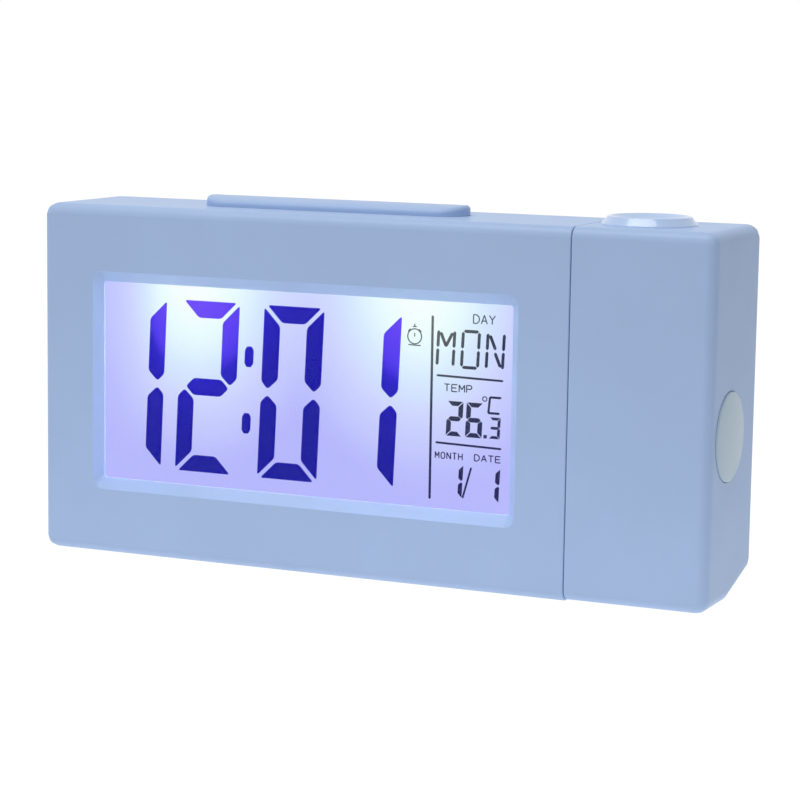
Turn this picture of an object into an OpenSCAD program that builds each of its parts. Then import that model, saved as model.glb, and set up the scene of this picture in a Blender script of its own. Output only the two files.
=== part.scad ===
// Projection alarm clock: a desk clock with a backlit display, and a projector head that turns at its end.
// In the modules X runs right from the left end, Y runs back from the front face and Z runs up from the base.
// placed() then moves the origin to the middle of the footprint, on the surface that the clock stands on.

/* [Case] */
// Width of the case, without the head
case_w = 116.2; // [114:0.2:150]
// Height of the case
case_h = 72.5; // [72:0.5:95]
// Depth of the case, front face to back face
case_d = 29.5; // [29:0.5:40]
// Thickness of the case and head walls
wall = 2.2; // [1.8:0.1:2.7]
// Depth of the rear cover, back face to parting line
cover_d = 4.5; // [4:0.1:6]
// Radius of the corners of the front outline
corner_r = 2.6; // [1.5:0.1:3.5]
// Radius of the edges above and below the front face
front_edge_r = 2.3; // [1:0.1:3]
// Radius of the case's upright edge beside the front face
side_edge_r = 1.6; // [0.5:0.1:2.5]
// Radius of the edges round the back face
rear_edge_r = 2.4; // [1:0.1:3.5]
// Radius of the edges at the seam between case and head
seam_edge_r = 0.3; // [0.2:0.1:0.8]
// Thickness of the cover's locating lip
lip_t = 1.2; // [0.8:0.1:1.6]
// How far the lip reaches into the front housing
lip_l = 1.5; // [1:0.1:3]

/* [Window] */
// Left edge of the window recess, from the case's left end
window_x = 11.65; // [11.5:0.05:20]
// Lower edge of the window recess, from the base
window_z = 13.5; // [13:0.1:16]
// Width of the window recess at the front face
window_w = 94.2; // [80:0.2:94.4]
// Height of the window recess at the front face
window_h = 45.4; // [38:0.2:46]
// Depth of the recess's sloping sides
window_depth = 1.8; // [1:0.1:1.8]
// Width of the slope on the left and right
bevel_x = 1.7; // [0.5:0.1:3]
// Height of the slope above and below
bevel_z = 2.2; // [0.5:0.1:3]
// Radius of the recess's corners
window_r = 2.2; // [0.3:0.1:2.5]

/* [Display] */
// Thickness of the clear pane
pane_t = 1; // [0.8:0.1:1.5]
// How far the pane and the films reach past the opening
pane_margin = 1.5; // [1:0.1:1.8]
// Thickness of each of the display's two glasses
glass_t = 1.1; // [0.7:0.1:1.1]
// Thickness of a polarising film
film_t = 0.2; // [0.1:0.05:0.3]
// How far the glasses reach past the opening
glass_margin = 2; // [1.8:0.1:2.2]
// Height of the front glass's contact ledge
ledge_h = 2.4; // [2.2:0.1:3]
// Thickness of the light guide
guide_t = 3; // [2.4:0.1:3.2]
// Wall of the display tray
tray_t = 1.1; // [0.8:0.1:1.2]
// Width of a backlight lamp
lamp_w = 3.5; // [2:0.5:5]
// Height of a backlight lamp
lamp_h = 1.2; // [0.8:0.1:1.4]
// Thickness of the backlight's board
strip_board_t = 1; // [0.6:0.1:1.2]
// Thickness of the rubber contact strip
contact_strip_t = 1.8; // [1.2:0.1:1.8]

/* [Boards] */
// Thickness of the circuit boards
board_t = 1.6; // [1:0.1:1.6]
// Radius of the posts that carry the boards
post_r = 2.2; // [1.8:0.1:2.4]
// Radius of a board screw's shank
board_screw_r = 1; // [0.8:0.1:1.2]
// Radius of a board screw's head
board_screw_head_r = 1.9; // [1.6:0.1:2.2]
// Length of a board screw, with its head
board_screw_l = 7; // [6:0.5:7]
// Gap above the main board, and below it
board_edge_gap = 2.2; // [1.6:0.1:3]

/* [Snooze bar] */
// Left end of the snooze bar, from the case's left end
bar_x = 30.8; // [26:0.1:34]
// Length of the snooze bar
bar_l = 58; // [48:0.1:62]
// Width of the snooze bar, front to back
bar_w = 11; // [9:0.1:12]
// Height of the snooze bar's crown above the case
bar_h = 2.1; // [1.4:0.1:3]
// How much higher the crown is than the bar's sides
bar_crown = 0.8; // [0.3:0.1:1]
// Radius of the bar's upper edges
bar_edge_r = 1; // [0.4:0.1:1.2]
// Travel of the snooze bar
bar_travel = 0.6; // [0.3:0.1:0.7]

/* [Rear keys] */
// Number of keys in the row
key_count = 5; // [5:1:5]
// Radius of a key
key_r = 3; // [2.4:0.1:3.6]
// Distance between keys
key_pitch = 13; // [11.5:0.5:15]
// Height of the key row above the base
key_z = 58.5; // [57:0.5:59.5]
// How far the keys stand out
key_proud = 0.8; // [0.7:0.1:1.2]
// Travel of a key
key_travel = 0.6; // [0.3:0.1:0.6]
// Travel of the slide switch
knob_travel = 3; // [2:0.5:3]

/* [Battery bay] */
// Diameter of a cell
cell_d = 10.5; // [8.5:0.5:10.5]
// Length of a cell, with its nub
cell_l = 44.5; // [37:0.5:54]
// Number of cells
cell_count = 3; // [2:1:3]
// Gap between two cells
cell_gap = 0.9; // [0.5:0.1:1.2]
// Length of a cell spring
spring_l = 3.4; // [2.5:0.1:4.5]
// Wall of the battery bay
bay_t = 1.4; // [1:0.1:1.6]
// Left end of the bay's space, from the case's left end
bay_x = 10.2; // [10:0.1:14]
// Lower side of the bay's space, from the base
bay_z = 14; // [13:0.1:14.5]
// Thickness of the battery door
door_t = 1.6; // [1.2:0.1:1.8]

/* [Head] */
// Width of the projector head
head_w = 28.55; // [28:0.05:34]
// Gap between the case and the head
head_gap = 0.25; // [0.2:0.05:0.8]
// Radius of the head's upright edge beside the front face
head_edge_r = 2.1; // [0.5:0.1:3]
// Height of the head's underside above the base
head_lift = 0.3; // [0.2:0.1:1]
// Slope of the underside behind the pivot, which clears the table as the head turns
heel_angle = 15; // [14:0.5:16]
// Thickness of the cap that closes the head
cap_t = 2.4; // [2.2:0.1:3]
// Radius of the hollow pivot
hub_r = 7; // [6:0.1:7.5]
// Radius of the way through the pivot
hub_bore_r = 4; // [2.5:0.1:4.4]
// Angle that the head turns, towards the back
head_turn = 90; // [60:5:90]

/* [Projector] */
// Gap between the head's cap and the foot of the lamp tube
tube_gap = 0.45; // [0.2:0.05:0.8]
// Outer radius of the lens ring
ring_r = 9.3; // [8.8:0.1:10]
// Height of the lens ring
ring_h = 1.7; // [1:0.1:2]
// Outer radius of the lens barrel
barrel_r = 5.8; // [5.4:0.1:5.9]
// Length of the lens barrel
barrel_l = 18; // [15:0.5:19]
// Wall of the lens barrel where the lens sits
barrel_t = 0.8; // [0.6:0.1:1]
// Outer radius of the lamp tube
tube_r = 7; // [6.6:0.1:7.4]
// Radius of the focus dial
dial_r = 8.7; // [7:0.1:9]
// Focus dial's axis, from the front face
dial_y = 11.5; // [11.5:0.1:13]
// Focus dial's axis, above the base
dial_z = 33; // [31:0.1:36]
// How far the dial's rim stands out from the side of the head
dial_proud = 0.3; // [0.1:0.1:0.6]
// How much higher the middle of the dial is than its rim
dial_dome = 0.5; // [0.2:0.1:0.8]
// Radius of the focus dial's shaft
shaft_r = 1.45; // [1.2:0.05:1.6]
// Teeth on the focus pinion
pinion_teeth = 16; // [15:1:18]
// Module of the focus pinion and rack
gear_module = 0.4; // [0.35:0.05:0.45]
// Angle that the focus dial turns each way
dial_turn = 45; // [20:5:45]

/* [Fits] */
// Gap between pieces that press on each other
touch = 0.05; // [0.02:0.01:0.1]
// Running clearance round a turning or sliding shaft
run_gap = 0.05; // [0.03:0.01:0.08]
// Gap round a piece that is placed and stays
fit_gap = 0.15; // [0.1:0.05:0.2]
// Gap round a key, bar or knob that slides
slide_gap = 0.2; // [0.15:0.05:0.3]
// Radius of a case screw's shank
screw_r = 1.1; // [0.9:0.1:1.3]
// Radius of a case screw's head
screw_head_r = 2.1; // [1.8:0.1:2.2]

/* [Hidden] */
$fn = 48;

// How far a cut runs past a face, and how far joined shapes run into each other
cut = 1;
eps = 0.01;

// Overall frame
head_x0 = case_w + head_gap;
head_x1 = head_x0 + head_w;
total_d = case_d + key_proud;
axis_y = case_d / 2;
split_y = case_d - cover_d;
back_in = case_d - wall;
top_in = case_h - wall;
side_in = case_w - wall;

// Display stack, front to back
view_x0 = window_x + bevel_x;
view_x1 = window_x + window_w - bevel_x;
view_z0 = window_z + bevel_z;
view_z1 = window_z + window_h - bevel_z;
glass_x0 = view_x0 - glass_margin;
glass_x1 = view_x1 + glass_margin;
glass_z1 = view_z1 + glass_margin;
ledge_z1 = view_z0 - glass_margin;
glass_z0 = ledge_z1 - ledge_h;
film_y0 = wall + pane_t + fit_gap;
glass_y0 = film_y0 + film_t;
glass_mid_y = glass_y0 + glass_t;
glass_y1 = glass_mid_y + glass_t;
guide_y0 = glass_y1 + film_t + fit_gap;
guide_y1 = guide_y0 + guide_t;
tray_in_y = guide_y1 + fit_gap;
board_y0 = tray_in_y + tray_t;
board_y1 = board_y0 + board_t;
lamp_z0 = glass_z1 + fit_gap;
strip_board_z0 = lamp_z0 + lamp_h;
tray_in_z1 = strip_board_z0 + strip_board_t + fit_gap;
tray_z1 = tray_in_z1 + tray_t;
tray_z0 = glass_z0 - fit_gap - tray_t;
tray_x0 = glass_x0 - fit_gap - tray_t;
tray_x1 = glass_x1 + fit_gap + tray_t;
lamp_inset = 20.5;
lamp_xs = [view_x0 + lamp_inset, view_x1 - lamp_inset];
lamp_gap = 0.4;
strip_board_over = 8;
contact_x0 = tray_x0 + 5;
contact_x1 = tray_x1 - 5;
contact_z1 = ledge_z1 - fit_gap;
contact_z0 = contact_z1 - contact_strip_t;

// Leads to the power socket and the buzzer, in pairs
wire_r = 0.5;
lead_apart = 2;
socket_x = case_w - 18;

// Main board and its four posts
board_x0 = tray_x0 + 3;
board_x1 = max(tray_x1 - 3, socket_x + lead_apart + 2 * wire_r);
board_z0 = wall + board_edge_gap;
board_z1 = top_in - board_edge_gap;
post_inset = 7;
post_xs = [board_x0 + post_inset, board_x1 - post_inset];
post_zs = [tray_z0 - fit_gap - post_r, tray_z1 + fit_gap + post_r];
ear_w = 2 * post_r + 2;
pilot_gap = 0.05;
board_screw_head_h = 1;
post_hole_y = board_y1 + board_screw_head_h - board_screw_l - fit_gap;

// Parts on the main board, from its lower left corner
chip_r = 7;
chip_h = [0.6, 0.6];
row_at = [board_x0 + 58, board_z0 + 12];
resistor = [2, 0.6, 1.2];
capacitor = [3.2, 1.2, 1.6];
crystal_r = 1;
crystal_l = 6;
can_r = 2;
can_l = 2.4;

// Snooze bar and its switches
bar_y = axis_y + 0.45;
bar_r = bar_w / 2;
bar_top = case_h + bar_h;
crown_r = (bar_r * bar_r + bar_crown * bar_crown) / (2 * bar_crown);
flange_t = 1.2;
flange_out = 1.2;
flange_z1 = top_in - slide_gap;
flange_z0 = flange_z1 - flange_t;
bar_rib = [5, 1.8];
snooze_xs = [bar_x + bar_l / 4, bar_x + bar_l * 3 / 4];
snooze_sw = [6.2, 4.5, 4.2];
snooze_sw_z1 = board_z1 - 2.6;
plunger_in = 1;
snooze_plunger_r = 1.2;
snooze_plunger_y = board_y1 + snooze_sw[1] / 2;
snooze_plunger_z1 = snooze_sw_z1 + bar_travel + slide_gap;

// Keys, slide switch and their board
knob = [3, 3.4];
knob_plate_over = 1.5;
knob_plate_t = 0.9;
knob_proud = 0.3;
switch_body = [8.6, 4.4];
switch_x = case_w - 14;
knob_x = switch_x - knob_travel / 2;
key_flange_r = key_r + 1;
key_post_off = key_flange_r + post_r + 2 * slide_gap;
key_last_x = switch_x - switch_body[0] / 2 - 2 * post_r - 5 * slide_gap - key_flange_r;
function key_x(i) = key_last_x - key_pitch * (key_count - 1 - i);
key_post_xs = [key_x(0) - key_post_off, key_last_x + key_post_off];
key_flange_t = 1;
key_flange_y1 = back_in - fit_gap;
key_flange_y0 = key_flange_y1 - key_flange_t;
key_stem_r = 1.3;
key_stem_y0 = key_flange_y0 - 0.6;
key_sw = [6, 3.5];
key_plunger_r = 1.6;
key_sw_y1 = key_stem_y0 - key_travel - slide_gap;
key_sw_y0 = key_sw_y1 - key_sw[1];
key_board_y0 = key_sw_y0 - board_t;
key_board_h = 11;
key_board_x0 = key_post_xs[0] - post_r - 1;
key_board_x1 = switch_x + switch_body[0] / 2 + 0.6;
key_dome_in = 0.3;
ribbon = [12, 0.8];
ribbon_at = [key_x(0) + 8, key_z - 2];
pin_r = 0.7;
pin_in = 1.4;

// Battery bay: the cells lie along X, one above the other
contact_t = 0.4;
bay_end = contact_t + 2 * touch;
bay_l = 2 * bay_end + cell_l + spring_l + touch;
bay_x1 = bay_x + bay_l;
cell_pitch = cell_d + cell_gap;
cell_clear = 0.5;
bay_z1 = bay_z + cell_pitch * (cell_count - 1) + cell_d + 2 * cell_clear;
door_out = 1.2;
door_x0 = bay_x - door_out;
door_x1 = bay_x1 + door_out;
door_z0 = bay_z - 0.4;
door_z1 = bay_z1 + door_out;
door_y0 = case_d - door_t;
cell_y = door_y0 - fit_gap - cell_d / 2 - 0.2;
bay_floor_y = cell_y - cell_d / 2 - fit_gap;
tab_w = 5;
tab_t = 0.8;
tab_l = 1.6;
tab_up = 1.2;
tab_inset = 10;
tab_xs = [door_x0 + tab_inset, door_x1 - tab_inset - tab_w];
tab_y1 = door_y0 - 0.8;
tab_y0 = tab_y1 - tab_t;
tab_swing_y = case_d - norm([case_d - tab_y0, tab_l]) - slide_gap;
grip = [12, 0.8, 0.5];
grip_count = 5;
nub_r = 1.9;
nub_l = 1.2;
plate_w = cell_d * 0.72;
tail = [2, 1.6];
tail_lead_x = bay_x1 + bay_t + tail[1] / 2;
chip_at = [max(board_x0 + 58, tail_lead_x + wire_r + fit_gap + chip_r), board_z0 + 42];
spring_turns = 2.5;
spring_wire_r = 0.3;
spring_r0 = 3.4;
spring_r1 = 2.2;
function cell_z(i) = bay_z + cell_clear + cell_d / 2 + cell_pitch * i;

// Power socket, buzzer and temperature sensor on the back
socket_z = 13;
socket = [9, 9.5, 10];
socket_in = 8;
socket_hole_r = 1.9;
socket_pin_r = 0.6;
plug_hole_r = 3.2;
rib_t = 1.2;
buzzer_x = bay_x1 + bay_t + 12.5;
buzzer_z = 32;
buzzer_r = 7;
buzzer_h = 4;
grille_hole_r = 0.8;
grille_r = 3.4;
sensor_x = bay_x1 + bay_t + 8.6;
sensor_z = 8;
sensor_r = 1.3;
sensor_l = 2.4;
vent = [8, 1, 2.4];

// Case screws
boss_r = 2.8;
boss_at = wall + boss_r + 0.6;
case_screw_at = [for (x = [boss_at, case_w - boss_at]) for (z = [boss_at, case_h - boss_at]) [x, z]];
screw_l = 11;
screw_head_h = 1.4;
screw_recess = 1.8;
screw_y1 = case_d - screw_recess + screw_head_h;

// Head and its pivot
head_in_x = head_x1 - wall;
head_floor = head_lift + wall;
heel_y = axis_y - 0.5;
hub_z = (case_h + head_lift) / 2;
hub_boss_r = hub_r + 2.6;
hub_boss_l = 3;
hub_boss_x0 = side_in - hub_boss_l;
washer_t = 0.6;
clip_t = 0.9;
clip_open = 6;
groove_depth = 0.7;
groove_r = hub_r - groove_depth;
clip_x0 = hub_boss_x0 - 2 * touch - washer_t - touch - clip_t;
hub_tip = 0.8;
hub_x0 = clip_x0 - hub_tip;
cap_inset = 0.1;
cap_x0 = head_x0 + cap_inset;
cap_x1 = cap_x0 + cap_t;
stop_r = 1;
stop_track_r = 12.2;
stop_depth = 1.2;
stop_gap = 0.1;
stop_x0 = case_w - stop_depth + stop_gap;
cap_face_x = case_w + stop_gap;
cap_boss_r = 2;
cap_boss_l = 8;
cap_boss_at = wall + cap_boss_r + 0.2;
cap_screw_l = 7;
cap_screw_r = 0.9;
cap_screw_head_r = 1.6;
cap_screw_head_h = 1.2;
slot_w = 0.5;
slot_depth = 0.6;
harness_r = 1.5;
harness_x0 = board_x1 - 3;
harness_socket = [6, 7];
head_lead_t = 0.7;
lead_w = 4;

// Projector, from the lamp at the bottom to the lens at the top
tube_foot = [0.4, 1.2];
axis_x = cap_x1 + tube_gap + tube_foot[0] + tube_r;
pboard_z0 = head_floor + 2.5;
pboard_z1 = pboard_z0 + board_t;
pboard_half = 7.9;
pboard_x0 = cap_x1 + head_lead_t + 2 * fit_gap;
pboard_x1 = head_in_x - 1.5;
peg_off = 5.4;
peg_r = 0.8;
peg_xs = [axis_x - 4.5, head_in_x - 4.6];
tube_t = 1.4;
tube_step = 0.8;
tube_z1 = dial_z + 1;
led_r = 2.5;
led_h = [1.2, 1.4];
condenser_z0 = pboard_z1 + 9;
condenser_t = [1.6, 1];
slide_s = 12;
slide_t = 2;
barrel_z0 = case_h - 6.5 - barrel_l;
lens_seat = 4;
lens_t = [1.4, 1.2];
lens_r = barrel_r - barrel_t - 0.1;
guide_r = tube_r;
guide_z0 = barrel_z0 - 1;
guide_flange = [tube_foot[0], 1.5];
ring_bore_r = lens_r + 0.3;
ring_neck_r = guide_r - 0.2;
ring_floor = 0.3;

// Focus drive: the pinion on the dial's shaft meshes with the rack on the lens barrel
pressure_angle = 20;
backlash = 0.06;
pitch_r = gear_module * pinion_teeth / 2;
base_r = pitch_r * cos(pressure_angle);
tip_r = pitch_r + 0.9 * gear_module;
root_r = pitch_r - 1.25 * gear_module;
tooth_pitch = PI * gear_module;
focus_travel = pitch_r * dial_turn * PI / 180;
pinion_w = 3;
pinion_x0 = axis_x + tube_r + 0.7;
rack_x0 = pinion_x0 + slide_gap;
rack_w = pinion_w - 2 * slide_gap;
rack_y = dial_y + pitch_r;
rack_add = 0.85 * gear_module;
rack_ded = 1.2 * gear_module;
rack_back_y = rack_y + 2.8;
rack_half_teeth = ceil((focus_travel + 3) / tooth_pitch);
arm_z0 = barrel_z0 + 2;
arm_h = 3;
arm_y0 = rack_y - 0.6;
dial_t = 2.8;
dial_edge = 0.3;
dial_face_x = head_x1 + dial_proud;
dial_seat_x = dial_face_x - dial_t - slide_gap;
dial_seat_t = 1.8;
dial_cup_r = dial_r + slide_gap + 1.2;
dial_cup_x0 = dial_seat_x - dial_seat_t;
dial_boss_x0 = pinion_x0 + pinion_w + 0.4;
dial_boss_r = shaft_r + 1.6;

// ---- Shapes that repeat ----

module placed() {
    translate([-head_x1 / 2, -total_d / 2, 0]) children();
}

// A box between two corners
module box(a, b) {
    translate(a) cube(b - a);
}

// A box centred on (x, z), w wide and h high, that reaches from y0 to y1
module slab(x, z, w, h, y0, y1) {
    translate([x - w / 2, y0, z - h / 2]) cube([w, y1 - y0, h]);
}

// Round bars that start at p and run along X, Y or Z
module rod_x(p, r, l) {
    translate(p) rotate([0, 90, 0]) cylinder(h = l, r = r);
}

module rod_y(p, r, l) {
    translate(p) rotate([-90, 0, 0]) cylinder(h = l, r = r);
}

module rod_z(p, r, l) {
    translate(p) cylinder(h = l, r = r);
}

// A profile in (Y, Z) run along X, one in (X, Z) run along Y and one in (X, Y) run along Z
module along_x(x0, x1) {
    translate([x0, 0, 0]) rotate([90, 0, 90]) linear_extrude(x1 - x0) children();
}

module along_y(y0, y1) {
    translate([0, y1, 0]) rotate([90, 0, 0]) linear_extrude(y1 - y0) children();
}

module along_z(z0, z1) {
    translate([0, 0, z0]) linear_extrude(z1 - z0) children();
}

function unit(v) = v / norm(v);
function corners(x0, y0, x1, y1) = [[x0, y0], [x1, y0], [x1, y1], [x0, y1]];

// A polygon with rounded corners, one radius for each
module rounded(points, radii) {
    n = len(points);
    rounds = [for (i = [0:n - 1]) let (
        p = points[i],
        a = unit(points[(i + n - 1) % n] - p),
        b = unit(points[(i + 1) % n] - p),
        half = acos(a * b) / 2,
        run = radii[i] / tan(half))
        [p + run * a, p + run * b, p + unit(a + b) * radii[i] / sin(half)]];
    polygon([for (i = [0:n - 1]) each radii[i] > 0 ? [rounds[i][0], rounds[i][1]] : [points[i]]]);
    for (i = [0:n - 1]) if (radii[i] > 0) translate(rounds[i][2]) circle(radii[i]);
}

// A bar's outline with round ends, its long side along X
module stadium(x0, l, y, r) {
    translate([x0 + r, y - r]) square([l - 2 * r, 2 * r]);
    for (x = [x0 + r, x0 + l - r]) translate([x, y]) circle(r);
}

// Cross in a screw's head that ends at y and faces the side that dir points to
module cross_y(x, y, z, r, dir) {
    y0 = dir > 0 ? y - slot_depth : y - cut;
    y1 = dir > 0 ? y + cut : y + slot_depth;
    slab(x, z, 2 * r, slot_w, y0, y1);
    slab(x, z, slot_w, 2 * r, y0, y1);
}

// ---- Case ----

module case_block() {
    f = front_edge_r;
    b = rear_edge_r;
    s = seam_edge_r;
    intersection() {
        along_z(0, case_h) rounded(corners(0, 0, case_w, case_d), [side_edge_r, s, s, b]);
        along_y(0, case_d) rounded(corners(0, 0, case_w, case_h), [corner_r, s, s, corner_r]);
        along_x(0, case_w) rounded(corners(0, 0, case_d, case_h), [f, b, b, f]);
    }
}

// Recess with sloping sides round the display, and the opening behind it
module window_recess() {
    x1 = window_x + window_w;
    z1 = window_z + window_h;
    d = window_depth;
    intersection() {
        along_y(-cut, d) rounded(corners(window_x, window_z, x1, z1), [for (i = [0:3]) window_r]);
        along_z(0, case_h) polygon([
            [window_x, -cut], [x1, -cut], [x1, 0], [view_x1, d], [view_x0, d], [window_x, 0]]);
        along_x(0, case_w) polygon([
            [-cut, window_z], [0, window_z], [d, view_z0], [d, view_z1], [0, z1], [-cut, z1]]);
    }
    box([view_x0, 0, view_z0], [view_x1, wall + cut, view_z1]);
}

// Track for the head's stop, an arc about the pivot in the case's right side
module stop_track() {
    r = stop_r + slide_gap;
    h = stop_depth + cut;
    translate([case_w - stop_depth - stop_gap, axis_y, hub_z]) rotate([90, 0, 90]) {
        rotate([0, 0, -90 - head_turn]) rotate_extrude(angle = head_turn)
            translate([stop_track_r - r, 0]) square([2 * r, h]);
        for (a = [-90, -90 - head_turn]) rotate([0, 0, a])
            translate([stop_track_r, 0, 0]) cylinder(h = h, r = r);
    }
}

module front_housing() placed() color("aliceblue") difference() {
    union() {
        difference() {
            intersection() {
                case_block();
                box([-cut, -cut, -cut], [case_w + cut, split_y, case_h + cut]);
            }
            box([wall, wall, wall], [side_in, case_d, top_in]);
        }
        for (at = case_screw_at) rod_y([at[0], wall - eps, at[1]], boss_r, split_y - wall);
        for (x = post_xs) for (z = post_zs) rod_y([x, wall - eps, z], post_r, tray_in_y - wall);
        rod_x([hub_boss_x0, axis_y, hub_z], hub_boss_r, side_in - hub_boss_x0 + eps);
    }
    window_recess();
    along_z(top_in - cut, case_h + cut)
        stadium(bar_x - slide_gap, bar_l + 2 * slide_gap, bar_y, bar_r + slide_gap);
    rod_x([hub_boss_x0 - cut, axis_y, hub_z], hub_r + run_gap, case_w - hub_boss_x0 + 2 * cut);
    stop_track();
    for (at = case_screw_at) rod_y([at[0], screw_y1 - screw_l - cut, at[1]], screw_r + pilot_gap, screw_l);
    for (x = post_xs) for (z = post_zs) rod_y([x, post_hole_y, z], board_screw_r + pilot_gap, board_screw_l);
}

// Lip that locates the cover in the front housing, cut away round the bosses and the pivot
module cover_lip() {
    a = wall + fit_gap;
    b = a + lip_t;
    difference() {
        box([a, split_y - lip_l, a], [case_w - a, split_y + cut, case_h - a]);
        box([b, split_y - lip_l - cut, b], [case_w - b, split_y + 2 * cut, case_h - b]);
        for (at = case_screw_at) rod_y([at[0], split_y - lip_l - cut, at[1]], boss_r + 0.5, lip_l + cut);
        rod_x([hub_boss_x0 - cut, axis_y, hub_z], hub_boss_r + 0.4, case_w);
    }
}

// Ways for the door's tabs at the bay's lower wall, deep enough for their swing
module tab_slot(x) {
    g = slide_gap;
    box([x - g, tab_swing_y, door_z0 - tab_l - g], [x + tab_w + g, door_y0, bay_z + eps]);
}

module knob_hole() {
    x0 = knob_x - knob[0] / 2 - slide_gap;
    x1 = knob_x + knob[0] / 2 + knob_travel + slide_gap;
    h = knob[1] / 2 + slide_gap;
    box([x0, back_in - cut, key_z - h], [x1, case_d + cut, key_z + h]);
    box([x0 - 1, case_d - 0.5, key_z - h - 1], [x1 + 1, case_d + cut, key_z + h + 1]);
}

module socket_ribs() {
    for (s = [-1, 1]) {
        x = socket_x + s * (socket[0] / 2 + fit_gap + rib_t / 2);
        z = socket_z + s * (socket[2] / 2 + fit_gap + rib_t / 2);
        slab(x, socket_z, rib_t, socket[2], back_in - socket[1] + 1, back_in + eps);
        slab(socket_x, z, socket[0] / 2, rib_t, back_in - socket[1] / 2, back_in + eps);
    }
}

module buzzer_seat() {
    difference() {
        rod_y([buzzer_x, back_in - buzzer_h + 1, buzzer_z], buzzer_r + fit_gap + 1, buzzer_h - 1 + eps);
        rod_y([buzzer_x, back_in - buzzer_h, buzzer_z], buzzer_r + fit_gap, buzzer_h);
    }
}

module buzzer_grille() {
    rod_y([buzzer_x, back_in - cut, buzzer_z], grille_hole_r, wall + 2 * cut);
    for (a = [0:60:300])
        rod_y([buzzer_x + grille_r * cos(a), back_in - cut, buzzer_z + grille_r * sin(a)],
            grille_hole_r, wall + 2 * cut);
}

module sensor_vents() {
    for (i = [-1:1]) slab(sensor_x, sensor_z + vent[2] * i, vent[0], vent[1], back_in - cut, case_d + cut);
}

// Slots in the bay's right wall for the tails of the outer contacts
module tail_slots() {
    h = tail[0] / 2 + fit_gap;
    for (i = [0, cell_count - 1])
        box([bay_x1 - eps, cell_y - h, cell_z(i) - h], [bay_x1 + bay_t + cut, cell_y + h, cell_z(i) + h]);
}

module rear_cover() placed() color("aliceblue") difference() {
    union() {
        difference() {
            intersection() {
                case_block();
                box([-cut, split_y, -cut], [case_w + cut, case_d + cut, case_h + cut]);
            }
            box([wall, split_y - cut, wall], [side_in, back_in, top_in]);
        }
        cover_lip();
        for (at = case_screw_at) rod_y([at[0], split_y, at[1]], boss_r, back_in - split_y + eps);
        box([bay_x - bay_t, bay_floor_y - bay_t, bay_z - bay_t],
            [bay_x1 + bay_t, back_in + eps, bay_z1 + bay_t]);
        for (x = key_post_xs) rod_y([x, key_sw_y0, key_z], post_r, back_in - key_sw_y0 + eps);
        socket_ribs();
        buzzer_seat();
    }
    box([bay_x, bay_floor_y, bay_z], [bay_x1, case_d + cut, bay_z1]);
    box([door_x0 - fit_gap, door_y0 - fit_gap, door_z0 - fit_gap],
        [door_x1 + fit_gap, case_d + cut, door_z1 + fit_gap]);
    for (x = tab_xs) tab_slot(x);
    for (at = case_screw_at) {
        rod_y([at[0], split_y - cut, at[1]], screw_r + fit_gap, cover_d + 2 * cut);
        rod_y([at[0], case_d - screw_recess, at[1]], screw_head_r + fit_gap, screw_recess + cut);
    }
    for (i = [0:key_count - 1]) rod_y([key_x(i), back_in - cut, key_z], key_r + fit_gap, wall + 2 * cut);
    knob_hole();
    for (x = key_post_xs) rod_y([x, key_sw_y0 - cut, key_z], board_screw_r + pilot_gap, board_screw_l - 1);
    rod_y([socket_x, back_in - cut, socket_z], plug_hole_r, wall + 2 * cut);
    buzzer_grille();
    sensor_vents();
    tail_slots();
}

module case_screws() placed() color("silver")
    for (at = case_screw_at) difference() {
        union() {
            rod_y([at[0], screw_y1 - screw_head_h, at[1]], screw_head_r, screw_head_h);
            rod_y([at[0], screw_y1 - screw_l, at[1]], screw_r, screw_l - screw_head_h + eps);
        }
        cross_y(at[0], screw_y1, at[1], screw_head_r * 0.7, 1);
    }

// ---- Display ----

// A sheet as large as the view with its margin, from y0
module sheet(y0, t) {
    m = pane_margin;
    box([view_x0 - m, y0, view_z0 - m], [view_x1 + m, y0 + t, view_z1 + m]);
}

module display_window() placed() color("lightcyan", 0.4) sheet(wall, pane_t);

module polarising_films() placed() color("lavender", 0.5) {
    sheet(film_y0, film_t);
    sheet(glass_y1, film_t);
}

// Two glasses; the front one reaches lower and carries the contacts on its back
module lcd_cell() placed() color("lavender", 0.6) {
    box([glass_x0, glass_y0, glass_z0], [glass_x1, glass_mid_y, glass_z1]);
    box([glass_x0, glass_mid_y - eps, ledge_z1], [glass_x1, glass_y1, glass_z1]);
}

module light_guide() placed() color("ghostwhite")
    box([glass_x0, guide_y0, ledge_z1], [glass_x1, guide_y1, glass_z1]);

module display_tray() placed() color("white") difference() {
    union() {
        box([tray_x0, wall + touch, tray_z0], [tray_x1, board_y0, tray_z1]);
        for (x = post_xs) {
            box([x - ear_w / 2, tray_in_y, post_zs[0] - post_r], [x + ear_w / 2, board_y0, tray_z0 + cut]);
            box([x - ear_w / 2, tray_in_y, tray_z1 - cut], [x + ear_w / 2, board_y0, post_zs[1] + post_r]);
        }
    }
    box([glass_x0 - fit_gap, 0, glass_z0 - fit_gap], [glass_x1 + fit_gap, guide_y0, glass_z1 + fit_gap]);
    box([glass_x0 - fit_gap, guide_y0 - eps, contact_z1], [glass_x1 + fit_gap, tray_in_y, tray_in_z1]);
    box([contact_x0, 0, contact_z0 - fit_gap], [contact_x1, board_y0 + cut, contact_z1 + eps]);
    for (x = post_xs) for (z = post_zs) rod_y([x, 0, z], board_screw_r + fit_gap, board_y1);
}

module backlight_board() placed() color("seagreen")
    box([lamp_xs[0] - strip_board_over, guide_y0, strip_board_z0],
        [lamp_xs[1] + strip_board_over, guide_y1, strip_board_z0 + strip_board_t]);

module backlight_leds() placed() color("ivory")
    for (x = lamp_xs)
        slab(x, lamp_z0 + lamp_h / 2, lamp_w, lamp_h, guide_y0 + lamp_gap, guide_y1 - lamp_gap);

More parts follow.
